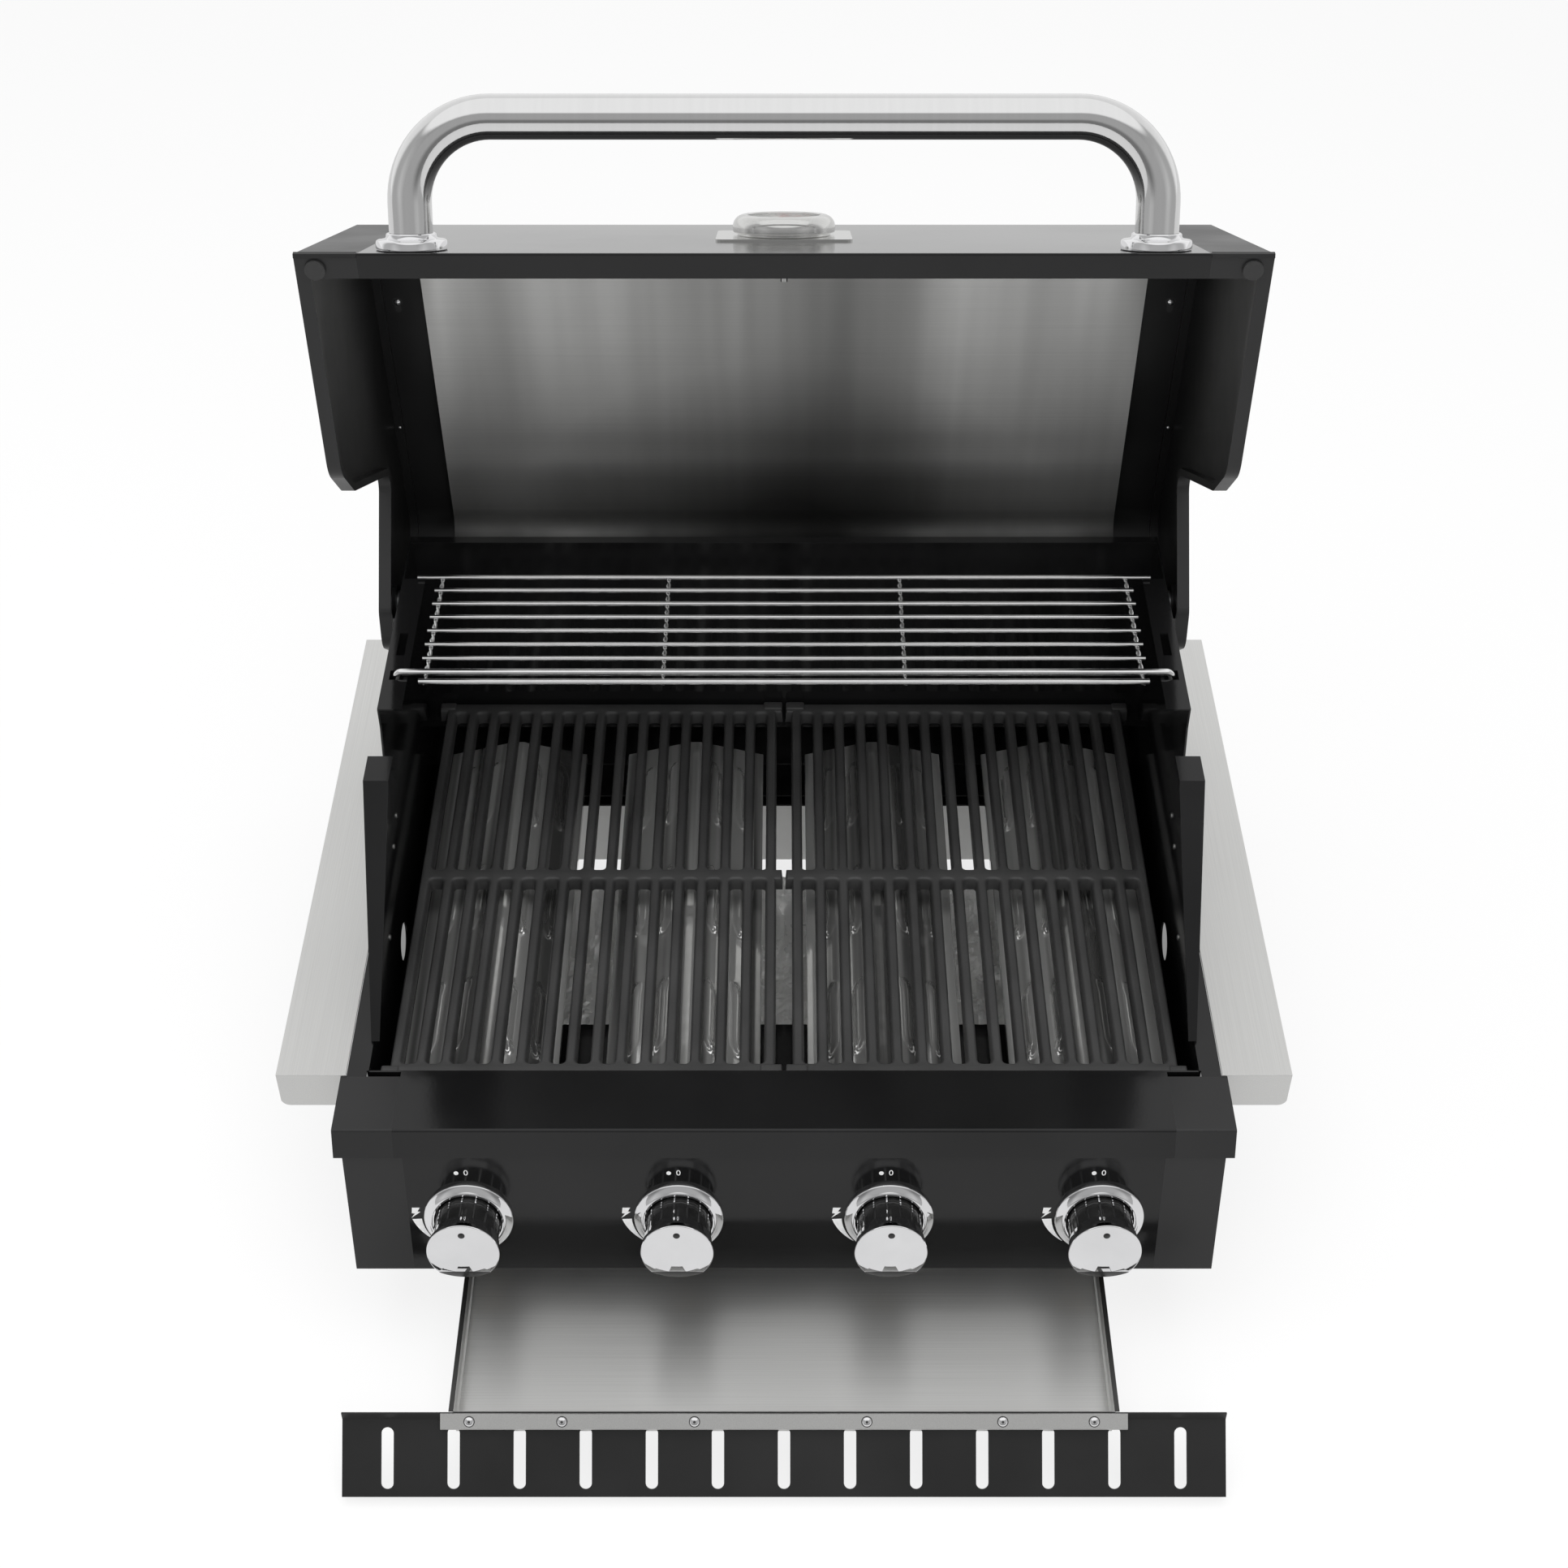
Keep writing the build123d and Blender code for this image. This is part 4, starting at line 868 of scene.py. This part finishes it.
class GRILL_OT_tents(GrillOperator):
    """Makes the four flame tents: folded roofs with rows of pressed scoops."""

    bl_idname = "grill.tents"
    bl_label = "Flame tents"

    def make(self, sizes):
        rise = sizes.louvre_rise / MM
        across = self.stations((20.0, 43.0), 9.0, 1.0)
        across = [-u for u in across[::-1]] + across
        along = self.rows()
        for place, x in zip(PLACES, BURNER_XS):
            bm = bmesh.new()
            grid = [[bm.verts.new((x + u, y, self.height(u, y, rise))) for u in across] for y in along]
            for near, far in zip(grid, grid[1:]):
                for i in range(len(across) - 1):
                    bm.faces.new((near[i], near[i + 1], far[i + 1], far[i]))
            mesh = to_mesh(bm, "tent", LAYOUT_PLACE, crease=20)
            piece = add_piece(f"flame_tent_{place}_look", mesh, "chassis", ["tent_steel"],
                              [f"flame_tent_{place}"])
            thick = piece.modifiers.new("sheet", "SOLIDIFY")
            thick.thickness = 1.1 * MM
            thick.offset = -1.0

    def stations(self, centres, reach, step):
        """Places across one half: close together over the scoops only."""
        places = [0.0, 4.2, 4.8]
        for centre in centres:
            count = round(2 * reach / step)
            places += [centre - reach + i * 2 * reach / count for i in range(count + 1)]
        return places[1:] + [59.5, 63.2, 63.8, 64.0]

    def rows(self):
        """Places along the tent: close together over the scoops' ends only."""
        places = [22.0, 22.6]
        for centre in (104.0, 240.0, 376.0):
            places += [centre - 46 + i * 1.3 for i in range(20)]
            places += [centre - 20 + i * 8 for i in range(6)]
            places += [centre + 21.3 + i * 1.3 for i in range(20)]
        return places + [442.4, 443.0]

    def height(self, u, y, rise):
        """The roof's level, with the scoops on it."""
        side = abs(u)
        level = -40.0 - max(0.0, side - 4.5) * 16.0 / 59.5
        if side >= 63.5:
            level = -62.0 if side > 63.9 else -56.4
        for offset in (20.0, 43.0):
            for row in (104.0, 240.0, 376.0):
                level += self.scoop(side - offset, y - row, rise)
        return level

    def scoop(self, across, along, rise):
        """A long lens, steep on its low side; its front end curls down the roof, its back end up."""
        along += 0.35 * across
        centre = 3.4 * smooth((-along - 24) / 18) - 2.6 * smooth((along - 24) / 18)
        t = (across - centre) / (5.6 - 2.2 * smooth((abs(along) - 26) / 18))
        if abs(t) >= 1.0:
            return 0.0
        end = smooth((43.0 - abs(along)) / 10.0)
        crest = 0.35
        shape = smooth((t + 1) / (1 + crest)) if t < crest else smooth((1 - t) / (1 - crest))
        return rise * end * shape


class GRILL_OT_grates(GrillOperator):
    """Makes the two cast grates with tapered, rounded bars."""

    bl_idname = "grill.grates"
    bl_label = "Cooking grates"

    def make(self, sizes):
        edge = sizes.bar_edge / MM
        levels = ((-22.9, 0.0), (-10.1 - edge, 0.8), (-10.1 - edge * 0.5, 0.8 + edge * 0.35),
                  (-10.1 - edge * 0.15, 0.8 + edge * 0.7), (-10.1, 0.8 + edge * 1.2))
        for side, name in ((1, "cooking_grate_right"), (-1, "cooking_grate_left")):
            bm = bmesh.new()
            pierced(bm, [self.outline] + self.slots(), levels)
            lugs = bmesh.new()
            for x0, x1, y0, y1, top in (
                    (1.6, 19.0, 10.5, 20.5, -8.1), (1.6, 19.0, 454.5, 464.6, -8.1),
                    (308.0, 322.6, 10.6, 20.0, -9.2), (308.0, 322.6, 455.0, 464.4, -9.2)):
                block(lugs, (x0, y0, -22.5), (x1, y1, top))
            bmesh.ops.bevel(lugs, geom=lugs.edges[:], offset=1.6, segments=3, profile=0.5, affect="EDGES")
            lump = bpy.data.meshes.new("lugs")
            lugs.to_mesh(lump)
            lugs.free()
            bm.from_mesh(lump)
            bpy.data.meshes.remove(lump)
            mesh = to_mesh(bm, name, LAYOUT_PLACE @ Matrix.Diagonal((side, 1, 1, 1)), crease=50)
            add_piece(name + "_look", mesh, "chassis", ["cast_iron"], [name])

    def outline(self, shrink):
        """Outer line: the rails reach the middle, and the end rails also the outer ledges."""
        corners = ((1.2, 10.2, 1, 1), (322.9, 10.2, -1, 1), (322.9, 21, -1, -1), (316.3, 21, -1, -1),
                   (316.3, 453.5, -1, 1), (322.9, 453.5, -1, 1), (322.9, 464.8, -1, -1), (1.2, 464.8, 1, -1),
                   (1.2, 452, 1, 1), (6.8, 452, 1, 1), (6.8, 244.3, 1, -1), (1.2, 244.3, 1, -1),
                   (1.2, 230.7, 1, 1), (6.8, 230.7, 1, 1), (6.8, 23.5, 1, -1), (1.2, 23.5, 1, -1))
        return [(x + across * shrink, y + along * shrink) for x, y, across, along in corners]

    def slots(self):
        """Makers of the slots between sixteen bars, in two rows."""
        step = (311.6 - 11.5) / 15
        holes = []
        for i in range(15):
            x0 = 11.5 + i * step + 4.7
            x1 = x0 + step - 9.4
            for y0, y1 in ((24.0, 230.7), (244.3, 450.2)):
                holes.append(lambda grow, box=(x0, x1, y0, y1): round_corners(
                    box[0] - grow, box[1] + grow, box[2] - grow, box[3] + grow, 3.2 + grow, 5))
        return holes


class GRILL_OT_rack(GrillOperator):
    """Makes the warming rack of bright wires."""

    bl_idname = "grill.rack"
    bl_label = "Warming rack"

    def make(self, sizes):
        bm = bmesh.new()
        wave = sizes.cross_wave / MM
        for i in range(7):
            y = 297.0 + 18.3 * i
            reach = 317.5 if i == 6 else 300.6
            self.wire(bm, [(-reach, y, 183.3), (reach, y, 183.3)], 2.0)
        self.wire(bm, [(-300.6, 267, 183.3), (300.6, 267, 183.3)], 2.5)
        corner = [(315 + 6 * math.sin(math.radians(15 * k)), 278, 178.3 + 6 * math.cos(math.radians(15 * k)))
                  for k in range(7)]
        half = corner + [(321, 278, 172.3)]
        path = [(-x, y, z) for x, y, z in half[::-1]] + half
        self.wire(bm, path, 3.0, 14)
        for x in (-296.0, -100.0, 100.0, 296.0):
            for turn in (0.0, math.pi):
                points = []
                for k in range(141):
                    y = 267.0 + k * 139.8 / 140
                    angle = math.pi * (y - 278.7) / 18.3 * 2 + turn
                    points.append((x + wave * 0.75 * math.cos(angle), y, 180.6 + wave * 0.4 * math.sin(angle)))
                self.wire(bm, points, 1.15, 8)
        mesh = to_mesh(bm, "rack", LAYOUT_PLACE, crease=50)
        add_piece("warming_rack_look", mesh, "chassis", ["wire_steel"], ["warming_rack"])

    def wire(self, bm, points, radius, sides=14):
        tube(bm, points, radius, sides)


class GRILL_OT_lid_fittings(GrillOperator):
    """Makes the handle, its bosses and the thermometer on the lid."""

    bl_idname = "grill.lid_fittings"
    bl_label = "Lid fittings"

    def make(self, sizes):
        self.add_handle()
        self.add_bosses()
        self.add_gauge()

    def add_handle(self):
        bm = bmesh.new()
        quarter = [(-211 - 60 * math.cos(a), 0, 33 + 60 * math.sin(a))
                   for a in (math.radians(5 * k) for k in range(19))]
        half = [(-271, 0, 12.1), (-271, 0, 22)] + quarter
        path = half + [(x, 0, 93) for x in (-140, -70, 0)]
        path += [(-x, y, z) for x, y, z in path[:-1][::-1]]
        tube(bm, path, 15.95, 48)
        mesh = to_mesh(bm, "handle", lid_place(0, 35), crease=50)
        add_piece("lid_handle_look", mesh, "lid", ["tube_steel"], ["lid_handle"])

    def add_bosses(self):
        bm = bmesh.new()
        profile = [(0, 0.1), (25.5, 0.1), (26, 0.7), (26, 5.4), (25.5, 6.6), (24.4, 7.3), (20.2, 7.9),
                   (19.0, 8.4), (18.4, 9.4), (18.2, 11.2), (17.4, 11.9), (16.3, 12.0), (0, 12.0)]
        for x in (-271, 271):
            lathe(bm, profile, 72, 0, lid_place(x, 35))
        mesh = to_mesh(bm, "bosses", Matrix.Identity(4), crease=28)
        add_piece("handle_bosses_look", mesh, "lid", ["chrome"], ["handle_bosses"])

    def add_gauge(self):
        bm = bmesh.new()
        plate(bm, round_corners(-52, 52, -42, 42, 5), 1.5)
        dome = [(30.5 + 9.0 * math.cos(a), 8.0 + 9.0 * math.sin(a))
                for a in (math.radians(9 * k) for k in range(11))]
        lathe(bm, [(0, 1.4), (35.6, 1.4), (36, 2), (36, 3.4), (38.8, 3.8), (39.5, 4.6)] + dome +
              [(28.8, 16.9), (28.2, 16.2), (28.2, 9.0), (0, 9.0)], 96, 0)
        lathe(bm, [(0, 9.02), (28.1, 9.02), (28.1, 9.08), (0, 9.08)], 64, 1)
        for i in range(11):
            turn = Matrix.Rotation(math.radians(215 - 25 * i), 4, "Z")
            long = 3.6 if i % 2 == 0 else 2.2
            block(bm, (26.4 - long, -0.25, 9.06), (26.4, 0.25, 9.14), 2, turn)
        self.add_numbers(bm)
        lathe(bm, [(0, 15.2), (28.15, 15.2), (28.15, 15.9), (0, 15.9)], 64, 3)
        mesh = to_mesh(bm, "thermometer", lid_place(0, 145), crease=28)
        add_piece("thermometer_case_look", mesh, "lid", ["case_steel", "dial_white", "rubber", "glass"],
                  ["thermometer_case"])

    def add_numbers(self, bm):
        for i in range(0, 11, 2):
            angle = math.radians(215 - 25 * i)
            middle = Vector((19.0 * math.cos(angle), 19.0 * math.sin(angle), 9.06))
            number = text_mesh(str(50 * (i // 2 + 1)), 4.6)
            number.transform(Matrix.Translation(middle))
            for polygon in number.polygons:
                polygon.material_index = 2
            bm.from_mesh(number)
            bpy.data.meshes.remove(number)


def text_mesh(words, height):
    """Plain figures as a thin mesh about their middle, in millimetres."""
    curve = bpy.data.curves.new("figures", "FONT")
    curve.body = words
    curve.size = height
    curve.extrude = 0.04
    curve.align_x = "CENTER"
    curve.align_y = "CENTER"
    drawn = bpy.data.objects.new("figures", curve)
    bpy.context.scene.collection.objects.link(drawn)
    depsgraph = bpy.context.evaluated_depsgraph_get()
    mesh = bpy.data.meshes.new_from_object(drawn.evaluated_get(depsgraph))
    bpy.data.objects.remove(drawn)
    bpy.data.curves.remove(curve)
    mesh.materials.clear()
    return mesh


class GRILL_OT_marks(GrillOperator):
    """Makes the printed marks round each knob."""

    bl_idname = "grill.marks"
    bl_label = "Panel marks"

    def make(self, sizes):
        bm = bmesh.new()
        for x in BURNER_XS:
            mark = bmesh.new()
            dot = [(-7 + 1.9 * math.cos(a), 45.6 + 1.9 * math.sin(a))
                   for a in (math.radians(15 * k) for k in range(24))]
            plate(mark, dot, 0.06)
            plate(mark, self.arc(), 0.06)
            plate(mark, [(-44.6, 9.6), (-38.4, 9.6), (-40.6, 5.6), (-38.2, 5.2), (-45.9, -1.2),
                         (-42.8, 3.4), (-45.2, 3.8)], 0.06)
            zero = text_mesh("0", 7.6)
            zero.transform(Matrix.Translation((0.6, 45.7, 0.03)))
            mark.from_mesh(zero)
            bpy.data.meshes.remove(zero)
            mark.transform(knob_place(x) @ Matrix.Translation((0, 0, 0.05)))
            mesh = bpy.data.meshes.new("mark")
            mark.to_mesh(mesh)
            mark.free()
            bm.from_mesh(mesh)
            bpy.data.meshes.remove(mesh)
        mesh = to_mesh(bm, "marks", Matrix.Identity(4), smooth=False)
        add_piece("panel_marks", mesh, "chassis", ["print_white"])

    def arc(self):
        """A strip that narrows as it runs round the bezel's lower left."""
        outer, inner = [], []
        for k in range(19):
            angle = math.radians(183 + 2.2 * k)
            wide = 7.4 * (1 - k / 18) ** 1.1 + 0.3
            outer.append(((37.6 + wide) * math.cos(angle), (37.6 + wide) * math.sin(angle)))
            inner.append((37.6 * math.cos(angle), 37.6 * math.sin(angle)))
        return inner[::-1] + outer


class GRILL_OT_small_fittings(GrillOperator):
    """Makes the tray's strip, foil and screws, and the screws of the lid and the firebox."""

    bl_idname = "grill.small_fittings"
    bl_label = "Screws, strip and foil"

    def make(self, sizes):
        self.add_pan()
        self.add_strip()
        self.add_foil()
        self.add_tray_screws()
        self.add_lid_screws()
        self.add_side_screws()

    def add_pan(self):
        """Open pan with a narrow rim along each side, coloured dark as painted shade."""
        wall, rim, front, back, top, low = TRAY_HALF, TRAY_HALF + 3.6, -195.4, 361.0, -170.0, -197.6
        section = [(-rim, top), (-wall, top), (-wall, low), (wall, low), (wall, top), (rim, top)]
        bm = bmesh.new()
        near, far = [[bm.verts.new((x, y, z)) for x, z in section] for y in (front, back)]
        for i in range(len(section) - 1):
            side = bm.faces.new((near[i], near[i + 1], far[i + 1], far[i]))
            # The rims take the near black finish: a painted shadow line along the pan's edges.
            side.material_index = 1 if i in (0, len(section) - 2) else 0
        for end in (near, far):
            bm.faces.new(end[1:-1])
        mesh = to_mesh(bm, "pan", LAYOUT_PLACE, crease=20)
        piece = add_piece("drip_tray_pan_look", mesh, "drip_tray", ["pan_steel", "rim_painted_shade"],
                          ["drip_tray_pan"])
        thick = piece.modifiers.new("sheet", "SOLIDIFY")
        thick.thickness = 0.6 * MM
        thick.offset = 0.0

    def add_strip(self):
        """Steel strip folded over the top of the tray's black face."""
        line = [(-197.6, -169.3), (-198.4, -169.2), (-206.3, -177.4), (-206.3, -178.4), (-203.4, -183.4),
                (-202.4, -182.6), (-197.6, -177.8)]
        bm = bmesh.new()
        ends = [[bm.verts.new((x, y, z)) for y, z in line] for x in (-267.6, 267.6)]
        for i in range(len(line)):
            j = (i + 1) % len(line)
            bm.faces.new((ends[0][i], ends[0][j], ends[1][j], ends[1][i]))
        for end in ends:
            bm.faces.new(end)
        mesh = to_mesh(bm, "strip", LAYOUT_PLACE, crease=20)
        add_piece("drip_tray_strip", mesh, "drip_tray", ["flange_steel"])

    def add_foil(self):
        """A crumpled sheet over the back of the tray's floor."""
        bm = bmesh.new()
        columns, rows = 120, 100
        grid = []
        for j in range(rows + 1):
            y = -30 + 389.0 * j / rows
            row = []
            for i in range(columns + 1):
                x = -256 + 512.0 * i / columns
                fold = abs(noise.noise(Vector((x * 0.035, y * 0.022, 1.7))))
                fine = abs(noise.noise(Vector((x * 0.09 + y * 0.03, y * 0.05, 4.1))))
                stand = 58.0 * smooth((y - 306.0) / 52.0)
                row.append(bm.verts.new((x, y, -196.2 + 14.0 * fold + 6.0 * fine + stand)))
            grid.append(row)
        for near, far in zip(grid, grid[1:]):
            for i in range(columns):
                bm.faces.new((near[i], near[i + 1], far[i + 1], far[i]))
        mesh = to_mesh(bm, "foil", LAYOUT_PLACE, smooth=False)
        add_piece("drip_tray_foil", mesh, "drip_tray", ["foil"])

    def add_tray_screws(self):
        bm = bmesh.new()
        dome = [(3.8, 0.05), (3.8, 0.5), (3.4, 1.1), (2.6, 1.5), (1.4, 1.7), (0, 1.75)]
        for share in (-0.475, -0.335, -0.135, 0.125, 0.33, 0.468):
            facing = Vector((0.0, -8.2, 7.9)).normalized()
            place = placed((share * 516, -202.4, -173.4), RIGHT, facing)
            # Thin dark disc under the head: a painted shadow ring round the screw.
            lathe(bm, [(4.4, 0.02), (4.4, 0.12), (0, 0.12)], 32, 1, place)
            lathe(bm, dome, 32, 0, place)
            # Small dark disc at the crown's middle: painted shade.
            lathe(bm, [(1.3, 1.6), (0.9, 1.80), (0, 1.80)], 12, 1, place)
        mesh = to_mesh(bm, "tray_screws", Matrix.Identity(4), crease=50)
        add_piece("drip_tray_screws_look", mesh, "drip_tray", ["chrome", "rubber"],
                  ["drip_tray_screws"])

    def add_lid_screws(self):
        """Screws in keyholes near the lid's front, and small ones lower down, on the end pieces' inside. Each
        keyhole and the ring round its screw are thin dark plates that paint the shade of the hole.
        """
        bm = bmesh.new()
        facing = Vector((0.0, -0.995, -0.0995))
        dome = [(3.4, 0.05), (3.2, 1.0), (2.4, 1.8), (1.2, 2.2), (0, 2.25)]
        for side in (-1, 1):
            place = placed((side * 329.5, 538.8, 376.8), RIGHT, facing.normalized())
            # Keyhole slot and ring round the head: thin dark plates, painted shade of the hole.
            keyhole = bmesh.new()
            plate(keyhole, round_corners(-2.6, 2.6, -11.0, 3.0, 2.5), 0.12, 1)
            plate(keyhole, round_corners(-4.4, 4.4, -4.4, 4.4, 4.3), 0.16, 1)
            keyhole.transform(place)
            lump = bpy.data.meshes.new("keyhole")
            keyhole.to_mesh(lump)
            keyhole.free()
            bm.from_mesh(lump)
            bpy.data.meshes.remove(lump)
            lathe(bm, dome, 24, 0, place)
            small = placed((side * 344.0, 549.4, 241.9), RIGHT, facing.normalized())
            lathe(bm, [(r * 0.6, h * 0.6) for r, h in dome], 20, 0, small)
        mesh = to_mesh(bm, "lid_screws", Matrix.Identity(4), crease=50)
        add_piece("lid_liner_screws", mesh, "lid", ["chrome", "rubber"])

    def add_side_screws(self):
        """Three small screws inside each side of the firebox."""
        bm = bmesh.new()
        dome = [(2.6, 0.05), (2.5, 0.6), (1.8, 1.2), (0, 1.5)]
        for side in (-1, 1):
            for y, z in ((237.2, 59.6), (210.6, 48.9), (144.7, 7.2)):
                place = placed((side * 329.45, y, z), Vector((0, side, 0)), Vector((-side, 0, 0)))
                lathe(bm, dome, 16, 0, place)
        mesh = to_mesh(bm, "side_screws", Matrix.Identity(4), crease=50)
        add_piece("firebox_side_screws", mesh, "chassis", ["plain_steel"])


CLASSES = (GrillColours, GrillSizes, GRILL_OT_stage, GRILL_OT_enamel, GRILL_OT_steel, GRILL_OT_knobs,
           GRILL_OT_tents, GRILL_OT_grates, GRILL_OT_rack, GRILL_OT_lid_fittings, GRILL_OT_marks,
           GRILL_OT_small_fittings)
STEPS = [c for c in CLASSES if issubclass(c, GrillOperator)]


class GRILL_PT_panel(bpy.types.Panel):
    """Lists the grill's steps and settings."""

    bl_idname = "GRILL_PT_panel"
    bl_label = "Grill"
    bl_space_type = "VIEW_3D"
    bl_region_type = "UI"
    bl_category = "Grill"

    def draw(self, context):
        for group in (context.scene.grill_sizes, context.scene.grill_colours):
            for name in group.__annotations__:
                self.layout.prop(group, name)
        for step in STEPS:
            self.layout.operator(step.bl_idname)


def register():
    for each in CLASSES + (GRILL_PT_panel,):
        bpy.utils.register_class(each)
    bpy.types.Scene.grill_colours = PointerProperty(type=GrillColours)
    bpy.types.Scene.grill_sizes = PointerProperty(type=GrillSizes)


def unregister():
    del bpy.types.Scene.grill_sizes
    del bpy.types.Scene.grill_colours
    for each in reversed(CLASSES + (GRILL_PT_panel,)):
        bpy.utils.unregister_class(each)


def main():
    register()
    for step in STEPS:
        group, name = step.bl_idname.split(".")
        getattr(getattr(bpy.ops, group), name)()


if __name__ == "__main__":
    main()
